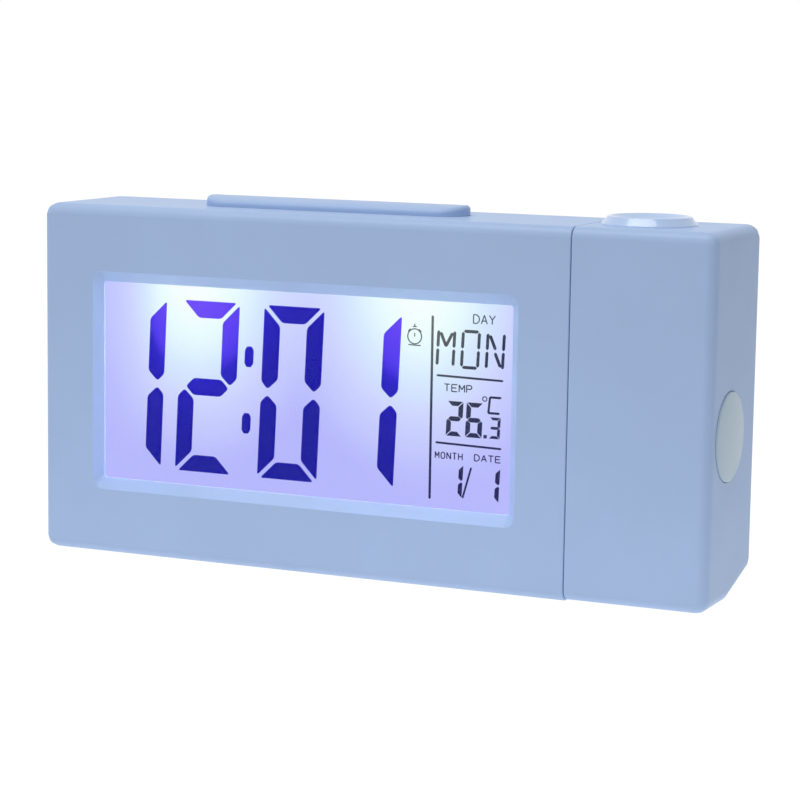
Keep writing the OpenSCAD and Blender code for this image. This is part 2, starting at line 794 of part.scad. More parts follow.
// Rubber strip that joins the front glass's contacts to the main board
module contact_strip() placed() color("dimgray")
    box([contact_x0 + fit_gap, glass_mid_y, contact_z0], [contact_x1 - fit_gap, board_y0, contact_z1]);

// ---- Main board ----

module main_board() placed() color("darkgreen") difference() {
    box([board_x0, board_y0, board_z0], [board_x1, board_y1, board_z1]);
    for (x = post_xs) for (z = post_zs)
        rod_y([x, board_y0 - cut, z], board_screw_r + fit_gap, board_t + 2 * cut);
}

// A board screw with its head's underside at y; dir says which way the head faces
module board_screw(x, y, z, dir) {
    shank = board_screw_l - board_screw_head_h;
    difference() {
        union() {
            rod_y([x, dir > 0 ? y : y - board_screw_head_h, z], board_screw_head_r, board_screw_head_h);
            rod_y([x, dir > 0 ? y - shank : y - eps, z], board_screw_r, shank + eps);
        }
        cross_y(x, y + dir * board_screw_head_h, z, board_screw_head_r * 0.7, dir);
    }
}

module board_screws() placed() color("silver") {
    for (x = post_xs) for (z = post_zs) board_screw(x, board_y1, z, 1);
    for (x = key_post_xs) board_screw(x, key_board_y0, key_z, -1);
}

// Sealed chip: a low dome of black resin
module main_chip() placed() color("black") translate([chip_at[0], board_y1, chip_at[1]]) rotate([-90, 0, 0]) {
    cylinder(h = chip_h[0], r = chip_r);
    translate([0, 0, chip_h[0] - eps]) cylinder(h = chip_h[1], r1 = chip_r * 0.92, r2 = chip_r * 0.64);
}

module board_components() placed() color("goldenrod") {
    x = row_at[0];
    z = row_at[1];
    for (i = [0:3]) translate([x + 2 * resistor[0] * i, board_y1, z]) cube(resistor);
    for (i = [0:2]) translate([x + 1.6 * capacitor[0] * i, board_y1, z + 5]) cube(capacitor);
    rod_z([x - 6, board_y1 + crystal_r + touch, z], crystal_r, crystal_l);
    rod_y([x + 20, board_y1, z + 4], can_r, can_l);
}

// Socket that the head's wires plug into, in line with the pivot
module harness_socket() placed() color("ivory")
    slab(harness_x0 - harness_socket[0] / 2, hub_z, harness_socket[0], harness_socket[1],
        board_y1, axis_y + harness_r + 0.9);

// ---- Snooze bar ----

module snooze_bar() placed() color("aliceblue") {
    r = bar_edge_r;
    z0 = flange_z1 - eps;
    intersection() {
        along_z(z0, bar_top) stadium(bar_x, bar_l, bar_y, bar_r);
        along_x(bar_x - cut, bar_x + bar_l + cut)
            rounded(corners(bar_y - bar_r, z0, bar_y + bar_r, bar_top), [0, 0, r, r]);
        along_y(bar_y - bar_w, bar_y + bar_w)
            rounded(corners(bar_x, z0, bar_x + bar_l, bar_top), [0, 0, r, r]);
        rod_x([bar_x - cut, bar_y, bar_top - crown_r], crown_r, bar_l + 2 * cut);
    }
    box([bar_x - flange_out, bar_y - bar_r - flange_out, flange_z0],
        [bar_x + bar_l + flange_out, bar_y + bar_r + flange_out, flange_z1]);
    for (x = snooze_xs)
        box([x - bar_rib[0] / 2, snooze_plunger_y - bar_rib[1] / 2, snooze_plunger_z1 + touch],
            [x + bar_rib[0] / 2, snooze_plunger_y + bar_rib[1] / 2, flange_z0 + eps]);
}

module snooze_plungers() placed() color("dimgray")
    for (x = snooze_xs)
        rod_z([x, snooze_plunger_y, snooze_sw_z1 - plunger_in], snooze_plunger_r,
            snooze_plunger_z1 - snooze_sw_z1 + plunger_in);

module snooze_switches() placed() color("black") {
    z = snooze_sw_z1 - snooze_sw[2] / 2;
    for (x = snooze_xs) difference() {
        slab(x, z, snooze_sw[0], snooze_sw[2], board_y1, board_y1 + snooze_sw[1]);
        rod_z([x, snooze_plunger_y, snooze_sw_z1 - plunger_in - bar_travel - slide_gap],
            snooze_plunger_r + run_gap, snooze_sw[2]);
    }
}

// ---- Rear keys ----

module key_board() placed() color("darkgreen") difference() {
    w = key_board_x1 - key_board_x0;
    slab(key_board_x0 + w / 2, key_z, w, key_board_h, key_board_y0, key_sw_y0);
    for (x = key_post_xs) rod_y([x, key_board_y0 - cut, key_z], board_screw_r + fit_gap, board_t + 2 * cut);
}

module key_switches() placed() color("black")
    for (i = [0:key_count - 1]) difference() {
        slab(key_x(i), key_z, key_sw[0], key_sw[0], key_sw_y0, key_sw_y1);
        rod_y([key_x(i), key_sw_y1 - plunger_in - key_travel - slide_gap, key_z],
            key_plunger_r + run_gap, key_sw[1]);
    }

// A key with its flange behind the back wall and a stem on its switch's plunger
module key(i) placed() color("aliceblue") difference() {
    union() {
        rod_y([key_x(i), key_flange_y0, key_z], key_r, total_d - key_flange_y0);
        rod_y([key_x(i), key_flange_y0, key_z], key_flange_r, key_flange_t);
        rod_y([key_x(i), key_stem_y0 + touch, key_z], key_stem_r, key_flange_y0 - key_stem_y0);
    }
    translate([key_x(i), total_d + 12 - key_dome_in, key_z]) sphere(12, $fn = 96);
}

module key_plunger(i) placed() color("dimgray")
    rod_y([key_x(i), key_sw_y1 - plunger_in, key_z], key_plunger_r, key_stem_y0 - key_sw_y1 + plunger_in);

module mode_key() key(0);
module set_key() key(1);
module up_key() key(2);
module down_key() key(3);
module alarm_key() key(4);
module mode_plunger() key_plunger(0);
module set_plunger() key_plunger(1);
module up_plunger() key_plunger(2);
module down_plunger() key_plunger(3);
module alarm_plunger() key_plunger(4);

// Knob with a pin in the switch; its plate hides the slot from inside
module slide_knob() placed() color("dimgray") {
    y1 = back_in - slide_gap;
    p = 2 * knob_plate_over;
    rod_y([knob_x, key_sw_y1 - pin_in, key_z], pin_r, pin_in + 1);
    slab(knob_x, key_z, knob[0], knob[1], key_sw_y1 + slide_gap, case_d + knob_proud);
    slab(knob_x, key_z, knob[0] + p, knob[1] + p, y1 - knob_plate_t, y1);
}

module slide_switch() placed() color("silver") difference() {
    slab(switch_x, key_z, switch_body[0], switch_body[1], key_sw_y0, key_sw_y1);
    slab(switch_x, key_z, 2 * (pin_r + slide_gap) + knob_travel, 2 * (pin_r + run_gap),
        key_sw_y1 - pin_in - slide_gap, key_sw_y1 + cut);
}

// Flat cable between the main board and the key board
module key_ribbon() placed() color("lightgray")
    slab(ribbon_at[0], ribbon_at[1], ribbon[0], ribbon[1], board_y1, key_board_y0);

// ---- Battery bay ----

module battery_door() placed() color("aliceblue") difference() {
    union() {
        box([door_x0, door_y0, door_z0], [door_x1, case_d, door_z1]);
        for (x = tab_xs) {
            box([x, tab_y0, door_z0 - tab_l], [x + tab_w, tab_y1, door_z0 + tab_up]);
            box([x, tab_y0, door_z0], [x + tab_w, door_y0 + eps, door_z0 + tab_up]);
        }
    }
    for (i = [0:grip_count - 1]) {
        x = (door_x0 + door_x1 - grip[0]) / 2;
        z = door_z1 - 4 - 2 * grip[1] * i;
        box([x, case_d - grip[2], z], [x + grip[0], case_d + cut, z + grip[1]]);
    }
}

// Every second cell lies the other way round
function nub_left(i) = i % 2 == 0;

module battery_cells() placed() color("slategray")
    for (i = [0:cell_count - 1]) {
        x0 = bay_x + bay_end + (nub_left(i) ? 0 : spring_l + touch);
        rod_x([x0 + (nub_left(i) ? nub_l : 0), cell_y, cell_z(i)], cell_d / 2, cell_l - nub_l);
        rod_x([x0, cell_y, cell_z(i)], nub_r, cell_l);
    }

// A tapered coil of wire that starts at the origin and is wound along +X
module coil_spring() {
    sides = 6;
    steps = 12 * spring_turns;
    span = spring_l - 2 * spring_wire_r;
    function turn(i) = 360 * spring_turns * i / steps;
    function out(i) = [0, cos(turn(i)), sin(turn(i))];
    function at(i) = [spring_wire_r + span * i / steps, 0, 0]
        + (spring_r0 + (spring_r1 - spring_r0) * i / steps) * out(i);
    function wire(k) = spring_wire_r * [cos(360 * k / sides), sin(360 * k / sides)];
    points = [for (i = [0:steps]) for (k = [0:sides - 1]) at(i) + wire(k)[0] * out(i) + [wire(k)[1], 0, 0]];
    walls = [for (i = [0:steps - 1]) for (k = [0:sides - 1])
        let (n = (k + 1) % sides, a = i * sides, b = a + sides)
        each [[a + k, b + n, b + k], [a + k, a + n, b + n]]];
    start = [for (k = [1:sides - 2]) [0, k + 1, k]];
    end = [for (k = [1:sides - 2]) [steps * sides, steps * sides + k, steps * sides + k + 1]];
    polyhedron(points, concat(walls, start, end));
}

module battery_springs() placed() color("silver")
    for (i = [0:cell_count - 1])
        if (nub_left(i)) translate([bay_x1 - bay_end, cell_y, cell_z(i)]) mirror([1, 0, 0]) coil_spring();
        else translate([bay_x + bay_end, cell_y, cell_z(i)]) coil_spring();

// Plates at both ends of each cell; the outer cells' right plates have tails for the leads
module battery_contacts() placed() color("silver") {
    w = plate_w / 2;
    for (i = [0:cell_count - 1]) for (x = [bay_x + touch, bay_x1 - touch - contact_t])
        box([x, cell_y - w, cell_z(i) - w], [x + contact_t, cell_y + w, cell_z(i) + w]);
    for (i = [0, cell_count - 1])
        box([bay_x1 - touch - contact_t, cell_y - tail[0] / 2, cell_z(i) - tail[0] / 2],
            [bay_x1 + bay_t + tail[1], cell_y + tail[0] / 2, cell_z(i) + tail[0] / 2]);
}

// Leads from the main board to the contacts, the power socket and the buzzer
module lead_wires() placed() color("firebrick") {
    for (i = [0, cell_count - 1])
        rod_y([tail_lead_x, board_y1, cell_z(i)], wire_r, cell_y - tail[0] / 2 - board_y1);
    for (s = [-lead_apart, lead_apart]) {
        rod_y([socket_x + s, board_y1, socket_z], wire_r, back_in - touch - socket[1] - board_y1);
        rod_y([buzzer_x + s, board_y1, buzzer_z], wire_r, back_in - touch - buzzer_h - board_y1);
    }
}

module power_socket() placed() color("black") {
    y1 = back_in - touch;
    difference() {
        slab(socket_x, socket_z, socket[0], socket[2], y1 - socket[1], y1);
        rod_y([socket_x, y1 - socket_in, socket_z], socket_hole_r, socket_in + cut);
    }
    rod_y([socket_x, y1 - socket_in - eps, socket_z], socket_pin_r, socket_in - 1);
}

module buzzer() placed() color("black") difference() {
    rod_y([buzzer_x, back_in - touch - buzzer_h, buzzer_z], buzzer_r, buzzer_h);
    rod_y([buzzer_x, back_in - touch - 1, buzzer_z], 1.5, 1 + cut);
}

// Temperature sensor: a bead on two stiff leads, close to the vents
module temperature_sensor() placed() color("black") {
    y1 = back_in - 2;
    for (s = [-0.8, 0.8]) rod_y([sensor_x + s, board_y1, sensor_z], 0.3, y1 - 1 - board_y1);
    rod_y([sensor_x, y1 - sensor_l, sensor_z], sensor_r, sensor_l);
}

// ---- Projector head ----

// The head's side outline, drawn in by d
function head_outline(d) = let (
        slope = tan(heel_angle),
        rise = slope * (case_d - d - heel_y) + d / cos(heel_angle))
    [[d, head_lift + d], [heel_y - d * tan(heel_angle / 2), head_lift + d],
     [case_d - d, head_lift + rise], [case_d - d, case_h - d], [d, case_h - d]];

// Centres of the cap's screws, in (Y, Z)
cap_screw_at = [for (i = [0, 2, 3, 4]) head_outline(cap_boss_at)[i]];

module head_block() {
    f = front_edge_r;
    b = rear_edge_r;
    s = seam_edge_r;
    intersection() {
        along_z(head_lift, case_h) rounded(corners(head_x0, 0, head_x1, case_d), [s, head_edge_r, b, s]);
        along_y(0, case_d) rounded(corners(head_x0, head_lift, head_x1, case_h), [s, corner_r, corner_r, s]);
        along_x(head_x0, head_x1) rounded(head_outline(0), [f, 0, b, b, f]);
    }
}

// Bosses for the cap's screws, joined to the corners of the shell
module cap_bosses() {
    x0 = cap_x1 + touch;
    r = cap_boss_r;
    out = cap_boss_at - wall / 2;
    intersection() {
        head_block();
        for (at = cap_screw_at) {
            y = at[0] < axis_y ? -out : out;
            z = at[1] < hub_z ? -out : out;
            rod_x([x0, at[0], at[1]], r, cap_boss_l);
            box([x0, at[0] + min(0, y), at[1] - r], [x0 + cap_boss_l, at[0] + max(0, y), at[1] + r]);
            box([x0, at[0] - r, at[1] + min(0, z)], [x0 + cap_boss_l, at[0] + r, at[1] + max(0, z)]);
        }
    }
}

module head_shell() placed() color("aliceblue") difference() {
    union() {
        difference() {
            head_block();
            along_x(head_x0 - cut, head_in_x) polygon(head_outline(wall));
        }
        cap_bosses();
        rod_x([dial_cup_x0, dial_y, dial_z], dial_cup_r, head_in_x - dial_cup_x0 + eps);
        rod_x([dial_boss_x0, dial_y, dial_z], dial_boss_r, dial_seat_x - dial_boss_x0);
        for (x = peg_xs) for (y = [axis_y - peg_off, axis_y + peg_off])
            rod_z([x, y, head_floor - eps], 2 * peg_r, pboard_z0 - head_floor);
        for (y = [axis_y - peg_off, axis_y + peg_off])
            rod_z([peg_xs[1], y, head_floor - eps], peg_r, pboard_z1 + peg_r - head_floor);
    }
    rod_x([dial_seat_x, dial_y, dial_z], dial_r + slide_gap, head_w);
    rod_x([dial_boss_x0 - cut, dial_y, dial_z], shaft_r + run_gap, head_w);
    rod_z([axis_x, axis_y, top_in - cut], ring_neck_r + fit_gap, wall + 2 * cut);
    for (at = cap_screw_at) rod_x([cap_x1 - cut, at[0], at[1]], cap_screw_r + pilot_gap, cap_screw_l);
}

// Cap that closes the head's left side and carries its hollow pivot and its stop
module head_cap() placed() color("aliceblue") difference() {
    union() {
        along_x(cap_x0, cap_x1) polygon(head_outline(wall + fit_gap));
        rod_x([cap_face_x, axis_y, hub_z], hub_boss_r, cap_x0 - cap_face_x + eps);
        rod_x([hub_x0, axis_y, hub_z], hub_r, cap_x0 - hub_x0 + eps);
        rod_x([stop_x0, axis_y, hub_z - stop_track_r], stop_r, cap_x0 - stop_x0 + eps);
    }
    rod_x([hub_x0 - cut, axis_y, hub_z], hub_bore_r, cap_x1 - hub_x0 + 2 * cut);
    difference() {
        rod_x([clip_x0 - touch, axis_y, hub_z], hub_r + cut, clip_t + 2 * touch);
        rod_x([clip_x0 - cut, axis_y, hub_z], groove_r, clip_t + 2 * cut);
    }
    for (at = cap_screw_at) {
        rod_x([cap_x0 - cut, at[0], at[1]], cap_screw_r + fit_gap, cap_t + 2 * cut);
        rod_x([cap_x0 - cut, at[0], at[1]], cap_screw_head_r + fit_gap, cap_screw_head_h + 0.2 + cut);
    }
}

module cap_screws() placed() color("silver") {
    x0 = cap_x0 + 0.2;
    for (at = cap_screw_at) difference() {
        union() {
            rod_x([x0, at[0], at[1]], cap_screw_head_r, cap_screw_head_h);
            rod_x([x0, at[0], at[1]], cap_screw_r, cap_screw_l);
        }
        for (s = [[1.1, slot_w / 2], [slot_w / 2, 1.1]])
            box([x0 - cut, at[0] - s[0], at[1] - s[1]], [x0 + slot_depth, at[0] + s[0], at[1] + s[1]]);
    }
}

// Spring washer that gives the head its drag
module pivot_washer() placed() color("silver") {
    x0 = clip_x0 + clip_t + touch;
    difference() {
        rod_x([x0, axis_y, hub_z], hub_boss_r - 0.2, washer_t);
        rod_x([x0 - cut, axis_y, hub_z], hub_r + 0.1, washer_t + 2 * cut);
    }
}

// Open clip in the pivot's groove
module pivot_clip() placed() color("silver") difference() {
    rod_x([clip_x0, axis_y, hub_z], hub_boss_r - 0.4, clip_t);
    rod_x([clip_x0 - cut, axis_y, hub_z], groove_r + touch, clip_t + 2 * cut);
    box([clip_x0 - cut, axis_y - clip_open / 2, hub_z],
        [clip_x0 + clip_t + cut, axis_y + clip_open / 2, hub_z + hub_boss_r + cut]);
}

// The wires run along the pivot's axis, so that they only twist when the head turns
wires_mid_x = case_w + head_gap / 2;
lead_x0 = cap_x1 + fit_gap;

module case_harness() placed() color("gray")
    rod_x([harness_x0, axis_y, hub_z], harness_r, wires_mid_x - harness_x0);

module head_harness() placed() color("gray") {
    y1 = axis_y + pboard_half;
    rod_x([wires_mid_x, axis_y, hub_z], harness_r, lead_x0 + eps - wires_mid_x);
    box([lead_x0, axis_y - lead_w / 2, hub_z - lead_w / 2], [lead_x0 + head_lead_t, y1, hub_z + lead_w / 2]);
    box([lead_x0, y1 - lead_w, pboard_z0], [lead_x0 + head_lead_t, y1, hub_z]);
}

// ---- Projector ----

module lens_ring() placed() color("aliceblue") translate([axis_x, axis_y, case_h]) rotate_extrude()
    polygon([
        [ring_bore_r, -wall], [ring_neck_r, -wall], [ring_neck_r, touch], [ring_r, touch],
        [ring_r - 0.1, 0.25], [ring_r - 1.05, ring_h - 0.35], [ring_r - 1.25, ring_h - 0.1],
        [ring_r - 1.5, ring_h], [ring_r - 1.7, ring_h], [ring_r - 1.9, ring_h - 0.1], [ring_bore_r, ring_floor]
    ]);

// Tube that the lens barrel slides in, hung from the top of the head
module barrel_guide() placed() color("dimgray") difference() {
    union() {
        rod_z([axis_x, axis_y, guide_z0], guide_r, top_in - guide_z0);
        rod_z([axis_x, axis_y, top_in - guide_flange[1]], guide_r + guide_flange[0], guide_flange[1]);
    }
    rod_z([axis_x, axis_y, guide_z0 - cut], barrel_r + run_gap, top_in);
    box([axis_x, arm_y0 - slide_gap, guide_z0 - cut],
        [axis_x + guide_r + cut, rack_back_y + slide_gap, arm_z0 + arm_h + focus_travel + 2 * slide_gap]);
}

// One tooth of the rack about height z
function rack_tooth(z) = let (
        half = tooth_pitch / 4 - backlash,
        slope = tan(pressure_angle))
    [[rack_y + rack_ded, z - half - rack_ded * slope], [rack_y - rack_add, z - half + rack_add * slope],
     [rack_y - rack_add, z + half - rack_add * slope], [rack_y + rack_ded, z + half + rack_ded * slope]];

module rack_profile() {
    n = rack_half_teeth;
    z0 = dial_z - (n + 0.5) * tooth_pitch;
    z1 = arm_z0 + arm_h;
    teeth = [for (k = [-n:n - 1]) each rack_tooth(dial_z + (k + 0.5) * tooth_pitch)];
    root = rack_y + rack_ded;
    polygon(concat([[rack_back_y, z0], [root, z0]], teeth, [[root, z1], [rack_back_y, z1]]));
}

module lens_barrel() placed() color("black") {
    seat_z = barrel_z0 + barrel_l - lens_seat;
    difference() {
        union() {
            rod_z([axis_x, axis_y, barrel_z0], barrel_r, barrel_l);
            box([axis_x, arm_y0, arm_z0], [rack_x0 + rack_w, rack_back_y, arm_z0 + arm_h]);
        }
        rod_z([axis_x, axis_y, barrel_z0 - cut], barrel_r - 2 * barrel_t, barrel_l + 2 * cut);
        rod_z([axis_x, axis_y, seat_z], barrel_r - barrel_t, barrel_l);
    }
    along_x(rack_x0, rack_x0 + rack_w) rack_profile();
}

// A lens that is flat below and domed above
module domed_lens(z0, r, rim, dome) {
    dome_r = (r * r + dome * dome) / (2 * dome);
    intersection() {
        rod_z([axis_x, axis_y, z0], r, rim + dome);
        translate([axis_x, axis_y, z0 + rim + dome - dome_r]) sphere(dome_r, $fn = 96);
    }
}

module projection_lens() placed() color("lightcyan", 0.4)
    domed_lens(barrel_z0 + barrel_l - lens_seat, lens_r, lens_t[0], lens_t[1]);

// Focus dial, standing a little out of the side, with a slightly domed face; turned in one piece with its shaft
module focus_dial() placed() color("honeydew") {
    x0 = dial_seat_x + slide_gap / 2;
    face_r = dial_r - dial_edge;
    translate([0, dial_y, dial_z]) rotate([0, 90, 0]) rotate_extrude() polygon(concat(
        [[0, pinion_x0 - touch], [shaft_r, pinion_x0 - touch], [shaft_r, x0], [dial_r, x0],
            [dial_r, dial_face_x - dial_edge]],
        [for (k = [4:-1:0]) [face_r * k / 4, dial_face_x + dial_dome * (1 - k * k / 16)]]));
}

function inv_deg(a) = tan(a) * 180 / PI - a;
function tooth_half(r) = 90 / pinion_teeth - backlash / pitch_r * 180 / PI + inv_deg(pressure_angle)
    - inv_deg(acos(min(1, base_r / r)));
function polar(r, a) = [r * cos(a), r * sin(a)];

module pinion_profile() {
    flank = [for (i = [0:4]) base_r + (tip_r - base_r) * i / 4];
    polygon([for (k = [0:pinion_teeth - 1]) let (a = 360 * k / pinion_teeth) each concat(
        [polar(root_r, a - tooth_half(base_r))],
        [for (r = flank) polar(r, a - tooth_half(r))],
        [for (i = [4:-1:0]) polar(flank[i], a + tooth_half(flank[i]))],
        [polar(root_r, a + tooth_half(base_r))])]);
}

module focus_pinion() placed() color("white") difference() {
    along_x(pinion_x0, pinion_x0 + pinion_w) translate([dial_y, dial_z]) pinion_profile();
    rod_x([pinion_x0 - cut, dial_y, dial_z], shaft_r + touch, pinion_w + 2 * cut);
}

// Tube over the lamp, with the condenser lens on its step
module lamp_tube() placed() color("dimgray") difference() {
    union() {
        rod_z([axis_x, axis_y, pboard_z1], tube_r, tube_z1 - pboard_z1);
        rod_z([axis_x, axis_y, pboard_z1], tube_r + tube_foot[0], tube_foot[1]);
    }
    rod_z([axis_x, axis_y, condenser_z0], tube_r - tube_t, tube_z1);
    rod_z([axis_x, axis_y, pboard_z1 - cut], tube_r - tube_t - tube_step, tube_z1);
}

module projector_led() placed() color("ivory") {
    rod_z([axis_x, axis_y, pboard_z1], led_r, led_h[0]);
    domed_lens(pboard_z1 + led_h[0] - eps, led_r * 0.64, 0.4, led_h[1] - 0.4);
}

module condenser_lens() placed() color("lightcyan", 0.4)
    domed_lens(condenser_z0, tube_r - tube_t - 0.1, condenser_t[0], condenser_t[1]);

module projector_lcd() placed() color("lavender")
    translate([axis_x - slide_s / 2, axis_y - slide_s / 2, tube_z1]) cube([slide_s, slide_s, slide_t]);

module projector_board() placed() color("darkgreen") difference() {
    box([pboard_x0, axis_y - pboard_half, pboard_z0], [pboard_x1, axis_y + pboard_half, pboard_z1]);
    for (y = [axis_y - peg_off, axis_y + peg_off])
        rod_z([peg_xs[1], y, pboard_z0 - cut], peg_r + pilot_gap, board_t + 2 * cut);
}

front_housing();
rear_cover();
case_screws();
display_window();
polarising_films();
lcd_cell();
light_guide();
display_tray();
backlight_board();
backlight_leds();
contact_strip();
main_board();
board_screws();
main_chip();
board_components();
harness_socket();
snooze_bar();
snooze_plungers();
snooze_switches();
key_board();
key_switches();
mode_key();
set_key();
up_key();
down_key();
alarm_key();
mode_plunger();
set_plunger();
up_plunger();
down_plunger();
alarm_plunger();
slide_knob();
slide_switch();
key_ribbon();
battery_door();
battery_cells();
battery_springs();
battery_contacts();
lead_wires();
power_socket();
buzzer();
temperature_sensor();
head_shell();
head_cap();
cap_screws();
pivot_washer();
pivot_clip();
case_harness();
head_harness();
lens_ring();
barrel_guide();
lens_barrel();
projection_lens();
focus_dial();
focus_pinion();
lamp_tube();
projector_led();
condenser_lens();
projector_lcd();
projector_board();
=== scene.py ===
"""Looks of the projection alarm clock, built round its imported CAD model.

Shapes are drawn in millimetres: X from the left end, Y back from the front face, Z up from the base.
settle() takes a finished shape to the row frame, in metres.
"""

import math

import bmesh
import bpy
from mathutils import Matrix, Vector


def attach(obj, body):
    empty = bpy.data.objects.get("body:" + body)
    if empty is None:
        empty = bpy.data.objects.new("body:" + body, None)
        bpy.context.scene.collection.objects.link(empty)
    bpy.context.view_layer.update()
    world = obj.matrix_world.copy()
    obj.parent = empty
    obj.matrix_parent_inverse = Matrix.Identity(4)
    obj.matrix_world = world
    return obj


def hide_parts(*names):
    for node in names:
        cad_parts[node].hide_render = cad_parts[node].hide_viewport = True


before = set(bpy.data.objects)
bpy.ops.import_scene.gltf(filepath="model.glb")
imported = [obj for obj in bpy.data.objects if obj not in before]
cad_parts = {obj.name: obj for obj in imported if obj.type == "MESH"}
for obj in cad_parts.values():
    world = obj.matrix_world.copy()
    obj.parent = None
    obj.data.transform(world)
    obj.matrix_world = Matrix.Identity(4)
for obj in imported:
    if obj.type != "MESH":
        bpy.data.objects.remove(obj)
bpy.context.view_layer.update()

MM = 0.001
TO_FRAME = Matrix.Scale(MM, 4) @ Matrix.Translation((-72.5, -15.15, 0))

# Overall sizes, the parting plane and the inner faces
CASE_W, CASE_H, CASE_D = 116.2, 72.5, 29.5
WALL = 2.2
SPLIT_Y = 25
BACK_IN = CASE_D - WALL
TOP_IN = CASE_H - WALL
PAST_BACK = CASE_D + 1.5

# Pivot of the head, and its bearing in the case's end wall
AXIS_Y, HUB_Z = CASE_D / 2, 36.4
HUB_X0, HUB_R, HUB_BORE_R = 111, 9.6, 7.05

# Edge radii
CORNER_R = 2.6
FRONT_R = 2.3
SIDE_R = 1.6
HEAD_EDGE_R = 2.1
REAR_R = 2.4
SEAM_R = 0.3
PARTING_R = 0.12

# Projector head
HEAD_X0, HEAD_X1 = 116.33, 145
HEAD_Z0 = 0.3
HEEL_Y = 14.25
HEEL_SLOPE = math.tan(math.radians(15))
LENS_X = 126.8
RING_SEAT_R = 6.95

# Focus dial: its axis, its face and the seat of its back
DIAL_Y, DIAL_Z = 11.5, 33
DIAL_R, DIAL_GAP = 8.7, 0.1
DIAL_FACE_X, DIAL_SEAT_X = 145.3, 142.3

# Window, as (X0, Z0, X1, Z1): its recess at the front face, and the view at the recess's foot.
# RECESS_R is the corner radius 1 mm before the front face.
RECESS = (11.65, 13.5, 105.85, 58.9)
RECESS_DEPTH = 1.8
RECESS_R = 3.1
VIEW = (13.35, 15.7, 104.15, 56.7)
VIEW_R = 0.6

# Display: the film's front face and the backlight lamps' places, as (X, Z)
FILM_FRONT_Y = 3.35
LAMPS = ((33.85, 58.7), (83.65, 58.7))

# Snooze bar and the gap round it
BAR_X0, BAR_X1 = 30.8, 88.8
BAR_Y, BAR_R = 15.2, 5.5
BAR_TOP = 74.6
BAR_GAP = 0.1

# Back: screws, keys, switch, socket, grille and vents
CASE_SCREWS = [(x, z) for x in (5.6, 110.6) for z in (5.6, 66.9)]
BOSS_R = 2.8
KEY_NAMES = ["mode", "set", "up", "down", "alarm"]
KEY_XS = [36.5, 49.5, 62.5, 75.5, 88.5]
KEY_Z = 58.5
KEY_POST_XS = (29.9, 95.1)
SWITCH_X = 102.2
SOCKET_X, SOCKET_Z = 98.2, 13
GRILLE_X, GRILLE_Z = 73.05, 32
GRILLE_HOLE_R, GRILLE_RING_R = 0.8, 3.4
VENT_X, VENT_ZS = 69.15, (5.6, 8, 10.4)

# Battery bay and door, as (X0, Z0, X1, Z1), and the door's two tabs
BAY = (10.2, 14, 59.15, 48.3)
BAY_Y, BAY_WALL = 16.9, 1.4
DOOR = (9.0, 13.6, 60.35, 49.5)
DOOR_Y, DOOR_GAP = 27.9, 0.15
TAB_XS, TAB_W = (19.0, 45.35), 5


# ---- Making shapes ----


def stand_in_scene(name, bm):
    """Puts a bmesh, in millimetres, into the scene as an object."""
    mesh = bpy.data.meshes.new(name)
    bm.to_mesh(mesh)
    bm.free()
    thing = bpy.data.objects.new(name, mesh)
    bpy.context.scene.collection.objects.link(thing)
    return thing


def apply_modifiers(thing):
    """Turns an object's modifiers into its mesh."""
    shaped = thing.evaluated_get(bpy.context.evaluated_depsgraph_get())
    mesh = bpy.data.meshes.new_from_object(shaped)
    thing.modifiers.clear()
    old = thing.data
    thing.data = mesh
    bpy.data.meshes.remove(old)
    return thing


def cuboid(bm, lo, hi):
    """Adds a box between two corners."""
    lo, hi = Vector(lo), Vector(hi)
    size = Matrix.Diagonal((*(hi - lo), 1))
    bmesh.ops.create_cube(bm, size=1, matrix=Matrix.Translation((lo + hi) / 2) @ size)


AXIS_TURNS = {
    "x": Matrix.Rotation(math.pi / 2, 4, "Y"),
    "y": Matrix.Rotation(-math.pi / 2, 4, "X"),
    "z": Matrix.Identity(4),
}


def rod(bm, axis, start, radius, length, segments=64):
    """Adds a round bar that starts at a point and runs along an axis."""
    turn = AXIS_TURNS[axis]
    middle = Vector(start) + turn @ Vector((0, 0, length / 2))
    bmesh.ops.create_cone(
        bm,
        cap_ends=True,
        segments=segments,
        radius1=radius,
        radius2=radius,
        depth=length,
        matrix=Matrix.Translation(middle) @ turn,
    )


def spun(profile, axis, centre, steps):
    """A turned shape. The profile's points are (radius, distance along the axis).

    It starts and ends on the axis, or makes a closed loop beside it.
    """
    bm = bmesh.new()
    turn = AXIS_TURNS[axis]
    points = [bm.verts.new(Vector((r, 0, h))) for r, h in profile]
    edges = [bm.edges.new(pair) for pair in zip(points, points[1:])]
    if min(profile[0][0], profile[-1][0]) > 0:
        edges.append(bm.edges.new((points[-1], points[0])))
    bmesh.ops.spin(bm, geom=points + edges, axis=(0, 0, 1), angle=math.tau, steps=steps, use_merge=True)
    bmesh.ops.remove_doubles(bm, verts=bm.verts, dist=1e-4)
    bmesh.ops.transform(bm, matrix=Matrix.Translation(centre) @ turn, verts=bm.verts)
    bmesh.ops.recalc_face_normals(bm, faces=bm.faces)
    return bm


SIDES = {
    "left": (-1, 0, 0),
    "right": (1, 0, 0),
    "front": (0, -1, 0),
    "back": (0, 1, 0),
    "bottom": (0, 0, -1),
    "top": (0, 0, 1),
}


def side_of(face):
    """The side of a block that a face lies on. Only the head's heel is aslant."""
    for side, normal in SIDES.items():
        if face.normal.dot(Vector(normal)) > 0.99:
            return side
    return "heel"


